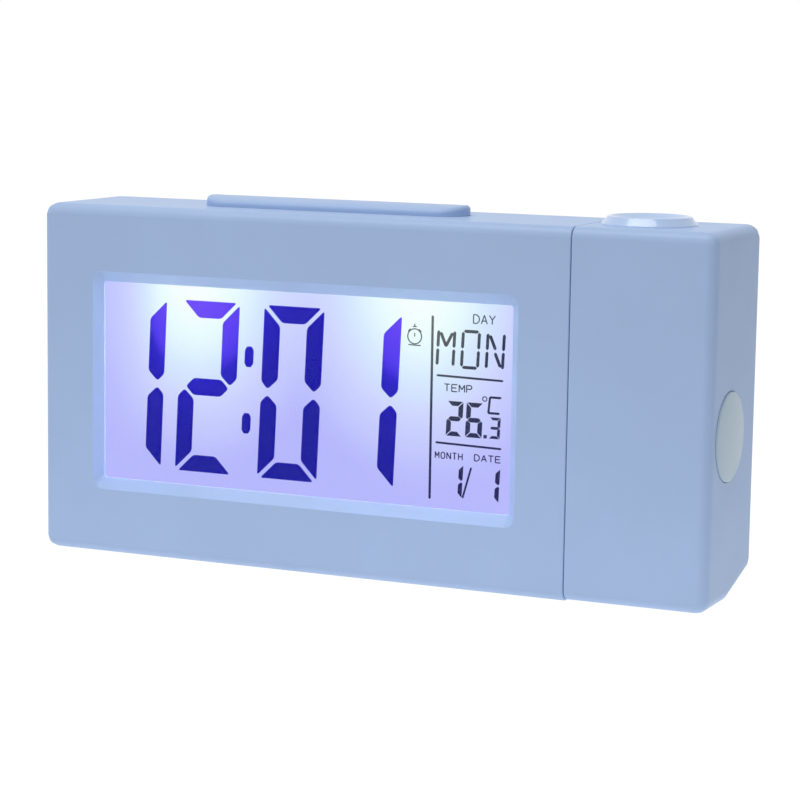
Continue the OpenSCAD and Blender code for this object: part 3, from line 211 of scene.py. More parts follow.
def round_edges(bm, name, radii):
    """An object from a block whose edges are rounded, each pair of sides with its own radius."""
    bm.normal_update()
    weights = bm.edges.layers.float.new("bevel_weight_edge")
    widest = max(radii.values())
    for edge in bm.edges:
        pair = frozenset(side_of(face) for face in edge.link_faces)
        edge[weights] = radii.get(pair, 0) / widest
    block = stand_in_scene(name, bm)
    rounding = block.modifiers.new("rounding", "BEVEL")
    rounding.limit_method = "WEIGHT"
    rounding.width = widest
    rounding.segments = 10
    rounding.profile = 0.5
    return apply_modifiers(block)


def round_rim(thing, axis, place, radius, segments=3):
    """Rounds the edges round a block's flat end."""
    bm = bmesh.new()
    bm.from_mesh(thing.data)
    k = "xyz".index(axis)
    rim = [e for e in bm.edges if all(abs(v.co[k] - place) < 1e-4 for v in e.verts)]
    bmesh.ops.bevel(
        bm, geom=rim, offset=radius, segments=segments, profile=0.5, affect="EDGES", clamp_overlap=False
    )
    bm.to_mesh(thing.data)
    bm.free()


def edge_table(*rows):
    """Radii by pair of sides, from rows such as (2.6, "left top")."""
    return {frozenset(pair.split()): radius for radius, *pairs in rows for pair in pairs}


def thicken(bm, offset):
    """Makes a flat shape solid: extrudes its faces by an offset."""
    moved = bmesh.ops.extrude_face_region(bm, geom=bm.faces[:])["geom"]
    bmesh.ops.translate(bm, vec=offset, verts=[v for v in moved if isinstance(v, bmesh.types.BMVert)])
    bmesh.ops.recalc_face_normals(bm, faces=bm.faces)


def combine(thing, tools, operation):
    """Cuts the tools out of a shape, or joins them to it."""
    holder = bpy.data.collections.new("tools")
    for piece in tools:
        holder.objects.link(piece)
    joining = thing.modifiers.new("joining", "BOOLEAN")
    joining.operation = operation
    joining.operand_type = "COLLECTION"
    joining.collection = holder
    joining.solver = "EXACT"
    apply_modifiers(thing)
    for piece in tools:
        bpy.data.objects.remove(piece)
    bpy.data.collections.remove(holder)


def tool(build, *values):
    """A tool made by one call on an empty bmesh."""
    bm = bmesh.new()
    build(bm, *values)
    return stand_in_scene("tool", bm)


def soften(thing, width):
    """Takes the sharpness off every edge that is still square."""
    bm = bmesh.new()
    bm.from_mesh(thing.data)
    bmesh.ops.remove_doubles(bm, verts=bm.verts, dist=1e-3)
    bmesh.ops.dissolve_degenerate(bm, edges=bm.edges, dist=1e-3)
    bm.to_mesh(thing.data)
    bm.free()
    easing = thing.modifiers.new("easing", "BEVEL")
    easing.limit_method = "ANGLE"
    easing.angle_limit = math.radians(38)
    easing.width = width
    easing.segments = 2
    easing.profile = 0.5
    easing.use_clamp_overlap = True
    apply_modifiers(thing)


def settle(thing, material, body, stands_for=(), crease=34):
    """Finishes a piece: into the row frame, smooth up to its creases, with its material and its body."""
    thing.data.transform(TO_FRAME)
    thing.data.materials.clear()
    thing.data.materials.append(material)
    thing.data.shade_smooth()
    thing.data.set_sharp_from_angle(angle=math.radians(crease))
    weighting = thing.modifiers.new("weighting", "WEIGHTED_NORMAL")
    weighting.keep_sharp = True
    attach(thing, body)
    if stands_for:
        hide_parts(*stands_for)


# ---- Materials ----


def make_node(tree, kind, feeds=(), **values):
    """Adds a node.

    feeds are (input, socket or value) pairs. values are its settings, or its inputs where it has
    no such setting.
    """
    made = tree.nodes.new(kind)
    settings = {key: value for key, value in values.items() if hasattr(made, key)}
    for key, value in settings.items():
        setattr(made, key, value)
    for key, value in values.items():
        if key not in settings:
            made.inputs[key].default_value = value
    for key, feed in feeds:
        if isinstance(feed, bpy.types.NodeSocket):
            tree.links.new(feed, made.inputs[key])
        else:
            made.inputs[key].default_value = feed
    return made


def coordinates(tree):
    """The place on the object, which stays with it when it moves."""
    return make_node(tree, "ShaderNodeTexCoord").outputs["Object"]


def maths(tree, operation, *feeds):
    """One number worked out from others, each a socket or a value."""
    return make_node(tree, "ShaderNodeMath", list(enumerate(feeds)), operation=operation).outputs[0]


def vector_maths(tree, operation, *feeds):
    """A vector worked out from others, or a number for the operations that give one."""
    made = make_node(tree, "ShaderNodeVectorMath", list(enumerate(feeds)), operation=operation)
    return made.outputs["Value" if operation in ("LENGTH", "DOT_PRODUCT") else "Vector"]


def scaled(tree, color, factor):
    """A colour times a number."""
    feeds = [(0, color), ("Scale", factor)]
    return make_node(tree, "ShaderNodeVectorMath", feeds, operation="SCALE").outputs[0]


def map_range(tree, value, start, end, low=0.0, high=1.0, smooth=False):
    """Takes a value between start and end to one between low and high, eased at both ends if smooth."""
    feeds = [("Value", value), ("From Min", start), ("From Max", end), ("To Min", low), ("To Max", high)]
    steps = "SMOOTHSTEP" if smooth else "LINEAR"
    return make_node(tree, "ShaderNodeMapRange", feeds, interpolation_type=steps).outputs["Result"]


def mixed(tree, factor, first, second):
    """A mix of two colours."""
    feeds = [("Factor", factor), (6, first), (7, second)]
    return make_node(tree, "ShaderNodeMix", feeds, data_type="RGBA").outputs[2]


def new_group(name, inputs, outputs):
    """An empty node group. inputs are (name, type, default) and outputs are (name, type)."""
    group = bpy.data.node_groups.new(name, "ShaderNodeTree")
    for label, kind, value in inputs:
        socket = group.interface.new_socket(name=label, in_out="INPUT", socket_type=kind)
        socket.default_value = value
    for label, kind in outputs:
        group.interface.new_socket(name=label, in_out="OUTPUT", socket_type=kind)
    entry = group.nodes.new("NodeGroupInput")
    result = group.nodes.new("NodeGroupOutput")
    return group, entry.outputs, result.inputs


def moulded_surface_group():
    """Moulded plastic: faint flow marks in the colour, fine grain, fingertip smears and rubbed edges."""
    group, given, result = new_group(
        "moulded_surface",
        [
            ("Color", "NodeSocketColor", (0.8, 0.8, 0.8, 1)),
            ("Rubbed", "NodeSocketColor", (0.9, 0.9, 0.9, 1)),
            ("Roughness", "NodeSocketFloat", 0.35),
            ("Grain", "NodeSocketFloat", 1.0),
            ("Wear", "NodeSocketFloat", 1.0),
        ],
        [("Color", "NodeSocketColor"), ("Roughness", "NodeSocketFloat"), ("Height", "NodeSocketFloat")],
    )
    place = [("Vector", coordinates(group))]
    flow = make_node(group, "ShaderNodeTexNoise", place, Scale=45, Detail=3, Roughness=0.55)
    grain = make_node(group, "ShaderNodeTexNoise", place, Scale=3600, Detail=2, Roughness=0.6)
    smears = make_node(
        group, "ShaderNodeTexNoise", place, Scale=70, Detail=5, Roughness=0.62, Distortion=1.4
    ).outputs["Fac"]

    eased = make_node(group, "ShaderNodeBevel", samples=4, Radius=0.0006).outputs["Normal"]
    flat = make_node(group, "ShaderNodeNewGeometry").outputs["Normal"]
    edge = map_range(group, vector_maths(group, "DOT_PRODUCT", eased, flat), 0.995, 0.86)
    rub = maths(group, "MULTIPLY", maths(group, "MULTIPLY", edge, smears), given["Wear"])

    tinted = scaled(group, given["Color"], map_range(group, flow.outputs["Fac"], 0.3, 0.7, 0.975, 1.02))
    smear_mask = map_range(group, smears, 0.5, 0.72)
    feeds = {
        "Color": mixed(group, rub, tinted, given["Rubbed"]),
        "Roughness": maths(group, "MULTIPLY_ADD", smear_mask, 0.07, given["Roughness"]),
        "Height": maths(group, "MULTIPLY", grain.outputs["Fac"], given["Grain"]),
    }
    for name, feed in feeds.items():
        group.links.new(feed, result[name])
    return group


def metal_surface_group():
    """Plated metal: drawing lines along one axis, and dull spots in the plating."""
    group, given, result = new_group(
        "metal_surface",
        [("Color", "NodeSocketColor", (0.7, 0.7, 0.7, 1)), ("Roughness", "NodeSocketFloat", 0.3)],
        [("Color", "NodeSocketColor"), ("Roughness", "NodeSocketFloat"), ("Height", "NodeSocketFloat")],
    )
    place = coordinates(group)
    drawn = make_node(group, "ShaderNodeMapping", [("Vector", place)], Scale=(300, 6000, 6000)).outputs[0]
    lines = make_node(group, "ShaderNodeTexNoise", [("Vector", drawn)], Scale=1, Detail=3).outputs["Fac"]
    spots = make_node(group, "ShaderNodeTexNoise", [("Vector", place)], Scale=900, Detail=4).outputs["Fac"]
    feeds = {
        "Color": scaled(group, given["Color"], map_range(group, spots, 0.45, 0.75, 1.0, 0.72)),
        "Roughness": maths(group, "MULTIPLY_ADD", lines, 0.18, given["Roughness"]),
        "Height": lines,
    }
    for name, feed in feeds.items():
        group.links.new(feed, result[name])
    return group


MOULDED = moulded_surface_group()
METAL = metal_surface_group()


def blank_material(name):
    """A new material, its node tree and its shader's inputs."""
    material = bpy.data.materials.new(name)
    material.use_nodes = True
    tree = material.node_tree
    return material, tree, tree.nodes["Principled BSDF"].inputs


def bump(tree, shader, height, strength, distance):
    """Fine relief that only bends the light."""
    relief = make_node(tree, "ShaderNodeBump", [("Height", height)], Strength=strength, Distance=distance)
    tree.links.new(relief.outputs[0], shader["Normal"])


def finish_surface(name, group, settings, relief, relief_depth):
    """A material whose colour, roughness and relief come from a surface group with these settings."""
    material, tree, shader = blank_material(name)
    surface = make_node(tree, "ShaderNodeGroup", settings.items(), node_tree=group).outputs
    tree.links.new(surface["Color"], shader["Base Color"])
    tree.links.new(surface["Roughness"], shader["Roughness"])
    bump(tree, shader, surface["Height"], relief, relief_depth)
    return material, shader


def moulded(name, color, roughness=0.35, grain=1.0, wear=1.0, coat=0.0, shine=0.5, relief=0.12):
    """Moulded plastic or rubber."""
    settings = {
        "Color": (*color, 1),
        "Rubbed": (*[min(1, 1.12 * c + 0.03) for c in color], 1),
        "Roughness": roughness,
        "Grain": grain,
        "Wear": wear,
    }
    material, shader = finish_surface(name, MOULDED, settings, relief, 0.00004)
    shader["Coat Weight"].default_value = coat
    shader["Coat Roughness"].default_value = 0.08
    shader["Specular IOR Level"].default_value = shine
    return material


def plated(name, color, roughness=0.28):
    """Plated steel."""
    settings = {"Color": (*color, 1), "Roughness": roughness}
    material, shader = finish_surface(name, METAL, settings, 0.15, 0.00003)
    shader["Metallic"].default_value = 1
    return material


def clear_sheet(name, color, roughness=0.02, ior=1.49, sheen=1.0):
    """Clear acrylic or glass with the faint haze of a handled sheet."""
    material, tree, shader = blank_material(name)
    place = [("Vector", coordinates(tree))]
    haze = make_node(tree, "ShaderNodeTexNoise", place, Scale=60, Detail=4, Distortion=0.8).outputs["Fac"]
    veil = map_range(tree, haze, 0.45, 0.8, roughness, roughness + 0.05)
    tree.links.new(veil, shader["Roughness"])
    shader["Base Color"].default_value = (*color, 1)
    shader["IOR"].default_value = ior
    shader["Specular Tint"].default_value = (sheen, sheen, sheen, 1)
    shader["Transmission Weight"].default_value = 1
    return material


def circuit_board(name, color):
    """Solder mask over copper tracks: the tracks show as a lighter, slightly raised maze."""
    material, tree, shader = blank_material(name)
    place = coordinates(tree)
    turned = make_node(tree, "ShaderNodeMapping", [("Vector", place)], Rotation=(math.pi / 2, 0, 0))
    tracks = make_node(
        tree,
        "ShaderNodeTexBrick",
        [("Vector", turned.outputs[0])],
        Scale=160,
        offset=0.37,
        squash=1.7,
        squash_frequency=3,
        **{"Mortar Size": 0.045, "Mortar Smooth": 0.3, "Brick Width": 0.9, "Row Height": 0.32},
    ).outputs["Fac"]
    lighter = (*[1.5 * c + 0.02 for c in color], 1)
    tree.links.new(mixed(tree, tracks, (*color, 1), lighter), shader["Base Color"])
    bump(tree, shader, tracks, 0.4, 0.00004)
    shader["Roughness"].default_value = 0.3
    return material


def backlight_group():
    """How well the lamps at the display's upper edge light a point, from 0 to 1. The left end is dimmer."""
    group, _, result = new_group("backlight", [], [("Nearness", "NodeSocketFloat")])
    place = coordinates(group)
    cloud = make_node(group, "ShaderNodeTexNoise", [("Vector", place)], Scale=28, Detail=2).outputs["Fac"]
    nearness = maths(group, "MULTIPLY_ADD", cloud, 0.14, -0.07)
    for x, z in LAMPS:
        lamp = TO_FRAME @ Vector((x, FILM_FRONT_Y, z))
        offset = vector_maths(group, "SUBTRACT", place, lamp)
        spread = vector_maths(group, "MULTIPLY", offset, (1.05, 1, 0.85))
        reach = vector_maths(group, "LENGTH", spread)
        glow = map_range(group, reach, 0.001, 0.036, 1.0, 0.0, smooth=True)
        nearness = maths(group, "ADD", nearness, glow)
    across = make_node(group, "ShaderNodeSeparateXYZ", [(0, place)]).outputs["X"]
    dimming = map_range(group, across, -0.0605, -0.0445, 0.3, 1.0, smooth=True)
    group.links.new(maths(group, "MULTIPLY", nearness, dimming), result["Nearness"])
    return group


BACKLIGHT = backlight_group()


def backlit(name, stops, spill=1.0):
    """A part of the display that glows.

    stops are (nearness to the lamps, colour), and spill is how strongly it lights the parts round it.
    """
    material, tree, shader = blank_material(name)
    nearness = make_node(tree, "ShaderNodeGroup", node_tree=BACKLIGHT).outputs["Nearness"]
    ramp = make_node(tree, "ShaderNodeValToRGB", [("Fac", nearness)])
    marks = ramp.color_ramp.elements
    while len(marks) < len(stops):
        marks.new(0.5)
    for mark, (position, color) in zip(marks, stops):
        mark.position = position
        mark.color = (*color, 1)
    tree.links.new(ramp.outputs["Color"], shader["Emission Color"])
    bounces = make_node(tree, "ShaderNodeLightPath").outputs["Diffuse Depth"]
    tree.links.new(map_range(tree, bounces, 0.0, 1.0, 1.0, spill), shader["Emission Strength"])
    shader["Base Color"].default_value = (0.01, 0.01, 0.012, 1)
    shader["Specular IOR Level"].default_value = 0
    shader["Roughness"].default_value = 0.5
    return material


# Colours of the lit display, from the darkest place to the brightest
ground_stops = [
    (0.0, (0.47, 0.475, 0.96)),
    (0.12, (0.54, 0.56, 0.97)),
    (0.35, (0.62, 0.66, 0.98)),
    (0.62, (0.68, 0.82, 0.98)),
    (0.85, (0.82, 0.98, 0.98)),
    (1.0, (0.94, 1.0, 0.98)),
]
segment_stops = [
    (0.0, (0.0, 0.0, 0.32)),
    (0.3, (0.003, 0.0, 0.40)),
    (0.55, (0.010, 0.002, 0.54)),
    (0.66, (0.07, 0.028, 0.82)),
    (1.0, (0.15, 0.06, 0.93)),
]
mark_stops = [(0.0, (0.012, 0.010, 0.085)), (0.5, (0.030, 0.040, 0.075)), (1.0, (0.13, 0.15, 0.14))]

finishes = {
    "housing_white": moulded(
        "case_plastic", (0.385, 0.525, 0.79), roughness=0.55, grain=0.6, wear=0.4, coat=0.15, shine=0.3
    ),
    "housing_inner": moulded("inner_plastic", (0.5, 0.6, 0.78), roughness=0.5),
    "pane_clear": clear_sheet("display_pane", (0.97, 0.98, 1.0), sheen=0.12),
    "film": backlit("lit_film", ground_stops, spill=10.5),
    "lcd_glass": clear_sheet("display_glass", (0.85, 0.87, 0.98), roughness=0.03, ior=1.52),
    "guide_clear": clear_sheet("light_guide", (0.95, 0.96, 1.0), roughness=0.1),
    "tray_white": moulded("tray_plastic", (0.86, 0.86, 0.84), roughness=0.55),
    "board_green": circuit_board("solder_mask", (0.012, 0.09, 0.03)),
    "led_body": moulded("lamp_package", (0.85, 0.8, 0.62), roughness=0.4, wear=0),
    "rubber_dark": moulded("conductive_rubber", (0.02, 0.02, 0.022), roughness=0.75, grain=2),
    "screw_steel": plated("zinc_plate", (0.55, 0.56, 0.58)),
    "resin_black": moulded("sealing_resin", (0.01, 0.01, 0.01), roughness=0.22, wear=0, relief=0.3),
    "component_tan": moulded("component_body", (0.36, 0.23, 0.09), roughness=0.45, wear=0),
    "connector_ivory": moulded("connector_nylon", (0.74, 0.69, 0.55), roughness=0.5),
    "switch_black": moulded("switch_nylon", (0.013, 0.013, 0.015), roughness=0.5),
    "plunger_grey": moulded("plunger_acetal", (0.07, 0.075, 0.09), roughness=0.4),
    "cable_grey": moulded("cable_sleeve", (0.26, 0.27, 0.32), roughness=0.55, wear=0),
    "wire_red": moulded("wire_insulation", (0.34, 0.012, 0.01), roughness=0.45, wear=0),
    "cell_wrap": moulded("cell_wrapper", (0.025, 0.035, 0.075), roughness=0.3, wear=0.3, coat=0.4),
    "spring_steel": plated("nickel_plate", (0.6, 0.59, 0.56), roughness=0.2),
    "knob_dark": moulded("knob_plastic", (0.035, 0.038, 0.048), roughness=0.45, grain=1.6),
    "dial_pale": moulded("dial_plastic", (0.40, 0.54, 0.66), roughness=0.34, grain=0.8, wear=0.6),
    "barrel_black": moulded("barrel_plastic", (0.012, 0.012, 0.014), roughness=0.55),
    "lens_glass": clear_sheet("lens_acrylic", (0.93, 0.98, 1.0), roughness=0.005),
    "gear_white": moulded("gear_acetal", (0.82, 0.82, 0.79), roughness=0.4),
}
segment_ink = backlit("display_segment", segment_stops)
mark_ink = backlit("display_mark", mark_stops)

# The lens ring's plastic is the case plastic with a glossier coat. Its lighter colour is painted light, so
# the ring looks more brightly lit than the case.
ring_painted_lighter = moulded("ring_plastic_painted_lighter", (0.47, 0.62, 0.88), roughness=0.3, grain=0.4, wear=0.3, coat=0.7)
white = finishes["housing_white"]

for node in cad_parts.values():
    for slot in node.material_slots:
        slot.material = finishes[slot.material.name.split(".")[0]]


# ---- Case ----


def round_cornered(bm, *ends):
    """A straight-sided plug between two ends, each given as depth, (X0, Z0, X1, Z1) and corner radius."""
    for y, (x0, z0, x1, z1), r in ends:
        for x in (x0 + r, x1 - r):
            for z in (z0 + r, z1 - r):
                place = Matrix.Translation((x, y, z)) @ AXIS_TURNS["y"]
                bmesh.ops.create_circle(bm, segments=48, radius=r, matrix=place)
    bmesh.ops.convex_hull(bm, input=bm.verts)
    bmesh.ops.delete(bm, geom=[v for v in bm.verts if not v.link_faces], context="VERTS")
    bmesh.ops.recalc_face_normals(bm, faces=bm.faces)


def window_cutters():
    """The recess with its sloping sides, carried on 1 mm past the front face, and the opening behind it."""
    x0, z0, x1, z1 = RECESS
    slope_x, slope_z = (VIEW[0] - x0) / RECESS_DEPTH, (VIEW[1] - z0) / RECESS_DEPTH
    past_front = (x0 - slope_x, z0 - slope_z, x1 + slope_x, z1 + slope_z)
    recess = tool(round_cornered, (-1, past_front, RECESS_R), (RECESS_DEPTH, VIEW, VIEW_R))
    passage = tool(round_cornered, (RECESS_DEPTH - 0.1, VIEW, VIEW_R), (WALL + 0.8, VIEW, VIEW_R))
    return [recess, passage]


def stadium_bar(bm, x0, x1, y, r, z0, z1):
    """A bar with round ends, its long side along X."""
    bmesh.ops.create_circle(bm, cap_ends=True, segments=64, radius=r)
    for v in bm.verts:
        v.co.x += x1 - r if v.co.x > 1e-4 else x0 + r
        v.co.y += y
    bmesh.ops.translate(bm, vec=(0, 0, z0), verts=bm.verts)
    thicken(bm, (0, 0, z1 - z0))


def opening(x, z, half_width, half_height, y0=BACK_IN - 1):
    """A cutter for a right-angled opening in the back, centred on (x, z)."""
    return tool(cuboid, (x - half_width, y0, z - half_height), (x + half_width, PAST_BACK, z + half_height))


def padded(box, pad, y0, y1):
    """A block from y0 to y1 over an (X0, Z0, X1, Z1) box that is widened by a pad on each side."""
    x0, z0, x1, z1 = box
    return tool(cuboid, (x0 - pad, y0, z0 - pad), (x1 + pad, y1, z1 + pad))


def make_case_front():
    """The front housing: a box open at the back, with the window, the pivot's bearing and the bar's slot."""
    bm = bmesh.new()
    cuboid(bm, (0, 0, 0), (CASE_W, SPLIT_Y, CASE_H))
    radii = edge_table(
        (CORNER_R, "left top", "left bottom"),
        (FRONT_R, "front top", "front bottom"),
        (SIDE_R, "front left"),
    )
    case = round_edges(bm, "case_front", radii)
    round_rim(case, "x", CASE_W, SEAM_R)
    round_rim(case, "y", SPLIT_Y, PARTING_R, segments=1)
    cavity = tool(cuboid, (WALL, WALL, WALL), (CASE_W - WALL, CASE_D, TOP_IN))
    combine(case, [cavity], "DIFFERENCE")
    bosses = [tool(rod, "y", (x, WALL - 0.5, z), BOSS_R, SPLIT_Y - WALL + 0.4) for x, z in CASE_SCREWS]
    bosses.append(tool(rod, "x", (HUB_X0, AXIS_Y, HUB_Z), HUB_R, 4))
    combine(case, bosses, "UNION")
    pilot_r, pilot_y = 1.15, 16.1
    slot = (BAR_X0 - BAR_GAP, BAR_X1 + BAR_GAP, BAR_Y, BAR_R + BAR_GAP)
    cutters = [tool(rod, "y", (x, pilot_y, z), pilot_r, 12) for x, z in CASE_SCREWS]
    cutters += window_cutters()
    cutters += [
        tool(stadium_bar, *slot, TOP_IN - 1, CASE_H + 1),
        tool(rod, "x", (HUB_X0 - 2, AXIS_Y, HUB_Z), HUB_BORE_R, 9),
    ]
    combine(case, cutters, "DIFFERENCE")
    soften(case, 0.22)
    settle(case, white, "case", ["front_housing"])


def make_case_back():
    """The rear cover with the battery bay, and openings for keys, switch, socket, sound and air."""
    bm = bmesh.new()
    cuboid(bm, (0, SPLIT_Y, 0), (CASE_W, CASE_D, CASE_H))
    radii = edge_table(
        (CORNER_R, "left top", "left bottom"),
        (REAR_R, "back top", "back bottom", "back left"),
    )
    cover = round_edges(bm, "case_back", radii)
    round_rim(cover, "x", CASE_W, SEAM_R)
    round_rim(cover, "y", SPLIT_Y, PARTING_R, segments=1)
    cavity = tool(cuboid, (WALL, SPLIT_Y - 1, WALL), (CASE_W - WALL, BACK_IN, TOP_IN))
    combine(cover, [cavity], "DIFFERENCE")
    post_y, post_r = 21.25, 2.2
    solid = [tool(rod, "y", (x, SPLIT_Y + 0.1, z), BOSS_R, BACK_IN - SPLIT_Y) for x, z in CASE_SCREWS]
    solid += [tool(rod, "y", (x, post_y, KEY_Z), post_r, BACK_IN - post_y + 0.3) for x in KEY_POST_XS]
    solid.append(padded(BAY, BAY_WALL, BAY_Y - BAY_WALL, BACK_IN + 0.3))
    combine(cover, solid, "UNION")
    screw_r, screw_head_r, screw_head_y = 1.25, 2.25, 27.7
    post_hole_r, post_hole_y, post_hole_depth = 1.05, 20, 7.2
    key_hole_r, socket_r = 3.15, 3.2
    tab_gap, tab_y, tab_z0, tab_z1 = 0.2, 25.72, 11.8, 14.1
    cutters = [tool(rod, "y", (x, SPLIT_Y - 1, z), screw_r, 8) for x, z in CASE_SCREWS]
    cutters += [tool(rod, "y", (x, screw_head_y, z), screw_head_r, 3) for x, z in CASE_SCREWS]
    cutters += [tool(rod, "y", (x, BACK_IN - 1, KEY_Z), key_hole_r, 5) for x in KEY_XS]
    cutters += [tool(rod, "y", (x, post_hole_y, KEY_Z), post_hole_r, post_hole_depth) for x in KEY_POST_XS]
    cutters += [
        padded(BAY, 0, BAY_Y, PAST_BACK),
        padded(DOOR, DOOR_GAP, DOOR_Y - DOOR_GAP, PAST_BACK),
        opening(SWITCH_X, KEY_Z, 3.2, 1.9),
        opening(SWITCH_X, KEY_Z, 4.2, 2.9, CASE_D - 0.5),
        tool(rod, "y", (SOCKET_X, BACK_IN - 1, SOCKET_Z), socket_r, 5),
        tool(rod, "y", (GRILLE_X, BACK_IN - 1, GRILLE_Z), GRILLE_HOLE_R, 5),
    ]
    for x in TAB_XS:
        cutters.append(tool(cuboid, (x - tab_gap, tab_y, tab_z0), (x + TAB_W + tab_gap, DOOR_Y, tab_z1)))
    cutters += [opening(VENT_X, z, 4, 0.5) for z in VENT_ZS]
    for k in range(6):
        around = math.tau * k / 6
        x, z = GRILLE_X + GRILLE_RING_R * math.cos(around), GRILLE_Z + GRILLE_RING_R * math.sin(around)
        cutters.append(tool(rod, "y", (x, BACK_IN - 1, z), GRILLE_HOLE_R, 5))
    combine(cover, cutters, "DIFFERENCE")
    soften(cover, 0.15)
    settle(cover, white, "case", ["rear_cover"])


# ---- Keys and door on the back ----


def make_keys():
    """Round keys with a shallow hollow for the fingertip. The profile's points are (radius, Y)."""
    dish = [(2.55 * k / 6, 30.0 + 0.28 * (k / 6) ** 2) for k in range(7)]
    rim = [(2.72, 30.3), (2.84, 30.28), (2.94, 30.2), (3.0, 30.08)]
    shank = [(3.0, 27.15), (4.0, 27.15), (4.0, 26.15), (1.3, 26.15), (1.3, 25.65), (1.2, 25.6), (0, 25.6)]
    for name, x in zip(KEY_NAMES, KEY_XS):
        bm = spun(dish + rim + shank, "y", (x, 0, KEY_Z), steps=64)
        key = stand_in_scene(f"{name}_key_cap", bm)
        settle(key, white, f"{name}_key", [f"{name}_key"])


def make_battery_door():
    """The door with its two bent tabs below and its finger grips above."""
    x0, z0, x1, z1 = DOOR
    door = padded(DOOR, 0, DOOR_Y, CASE_D)
    door.name = "battery_door_panel"
    tab_y, tab_thick, tab_past, tab_root = 26.3, 0.8, 1.6, 1.2
    tabs = []
    for x in TAB_XS:
        tabs.append(tool(cuboid, (x, tab_y, z0 - tab_past), (x + TAB_W, tab_y + tab_thick, z0 + tab_root)))
        tabs.append(tool(cuboid, (x, tab_y, z0), (x + TAB_W, DOOR_Y + 0.3, z0 + tab_root)))
    combine(door, tabs, "UNION")
    middle = (x0 + x1) / 2
    grip_half, grip_depth, grip_wide, grip_pitch = 6, 0.5, 0.8, 1.6
    grips = []
    for k in range(5):
        z = z1 - 4 - grip_pitch * k
        lo = (middle - grip_half, CASE_D - grip_depth, z)
        grips.append(tool(cuboid, lo, (middle + grip_half, CASE_D + 1, z + grip_wide)))
    combine(door, grips, "DIFFERENCE")
    soften(door, 0.14)
    settle(door, white, "battery_door", ["battery_door"])


# ---- Snooze bar ----


def make_snooze_bar():
    """The long bar: round ends, a rounded upper edge, and a top that falls away to the front and back."""
    crown_r, rim_r, strip = 19.306, 0.8, 0.46
    flange_z0, flange_z1, flange_past = 68.9, 70.1, 1.2
    bm = bmesh.new()
    stadium_bar(bm, BAR_X0, BAR_X1, BAR_Y, BAR_R, flange_z1 - 0.01, BAR_TOP)
    rim = [e for e in bm.edges if all(v.co.z > BAR_TOP - 0.01 for v in e.verts)]
    bmesh.ops.bevel(bm, geom=rim, offset=rim_r, segments=7, profile=0.5, affect="EDGES", clamp_overlap=True)
    for k in range(-10, 11):
        whole = bm.verts[:] + bm.edges[:] + bm.faces[:]
        bmesh.ops.bisect_plane(bm, geom=whole, plane_co=(0, BAR_Y + strip * k, 0), plane_no=(0, 1, 0))
    for v in bm.verts:
        if v.co.z > BAR_TOP - rim_r - 0.1:
            v.co.z += math.sqrt(crown_r**2 - (v.co.y - BAR_Y) ** 2) - crown_r
    bar = stand_in_scene("snooze_bar_cap", bm)
    lo = (BAR_X0 - flange_past, BAR_Y - BAR_R - flange_past, flange_z0)
    hi = (BAR_X1 + flange_past, BAR_Y + BAR_R + flange_past, flange_z1)
    under = [tool(cuboid, lo, hi)]
    under += [tool(cuboid, (x - 2.5, 13.3, 66.35), (x + 2.5, 15.1, flange_z0 + 0.1)) for x in (45.3, 74.3)]
    combine(bar, under, "UNION")
    settle(bar, white, "snooze_bar", ["snooze_bar"])


# ---- Projector head ----


def heeled_block(bm, x0, x1, outline):
    """A block with this (Y, Z) outline: front bottom, heel, back bottom, back top, front top."""
    bm.faces.new([bm.verts.new((x0, y, z)) for y, z in outline])
    thicken(bm, (x1 - x0, 0, 0))


def make_head():
    """The hollow head, with its sloping heel, the dial's recess and boss, and the lens ring's seat."""
    back_z = HEAD_Z0 + HEEL_SLOPE * (CASE_D - HEEL_Y)
    outline = [(0, HEAD_Z0), (HEEL_Y, HEAD_Z0), (CASE_D, back_z), (CASE_D, CASE_H), (0, CASE_H)]
    low, heel_y, heel_z = HEAD_Z0 + WALL, 13.96, 6.075
    inner = [(WALL, low), (heel_y, low), (BACK_IN, heel_z), (BACK_IN, TOP_IN), (WALL, TOP_IN)]
    bm = bmesh.new()
    heeled_block(bm, HEAD_X0, HEAD_X1, outline)
    radii = edge_table(
        (CORNER_R, "right top", "right bottom", "right heel"),
        (FRONT_R, "front top", "front bottom"),
        (HEAD_EDGE_R, "right front"),
        (REAR_R, "back top", "back heel", "right back"),
    )
    head = round_edges(bm, "head_body", radii)
    round_rim(head, "x", HEAD_X0, SEAM_R)
    combine(head, [tool(heeled_block, HEAD_X0 - 1, HEAD_X1 - WALL, inner)], "DIFFERENCE")
    pan_x, pan_r, boss_x, boss_r, bearing_r = 140.5, 10.1, 137.9, 3.05, 1.5
    solid = [
        tool(rod, "x", (pan_x, DIAL_Y, DIAL_Z), pan_r, 2.6, 96),
        tool(rod, "x", (boss_x, DIAL_Y, DIAL_Z), boss_r, 3),
    ]
    combine(head, solid, "UNION")
    cutters = [
        tool(rod, "x", (DIAL_SEAT_X, DIAL_Y, DIAL_Z), DIAL_R + DIAL_GAP, 4, 128),
        tool(rod, "x", (boss_x - 0.9, DIAL_Y, DIAL_Z), bearing_r, 8),
        tool(rod, "z", (LENS_X, AXIS_Y, TOP_IN - 1), RING_SEAT_R, 5, 96),
    ]
    combine(head, cutters, "DIFFERENCE")
    soften(head, 0.22)
    settle(head, white, "projector_head", ["head_shell"])


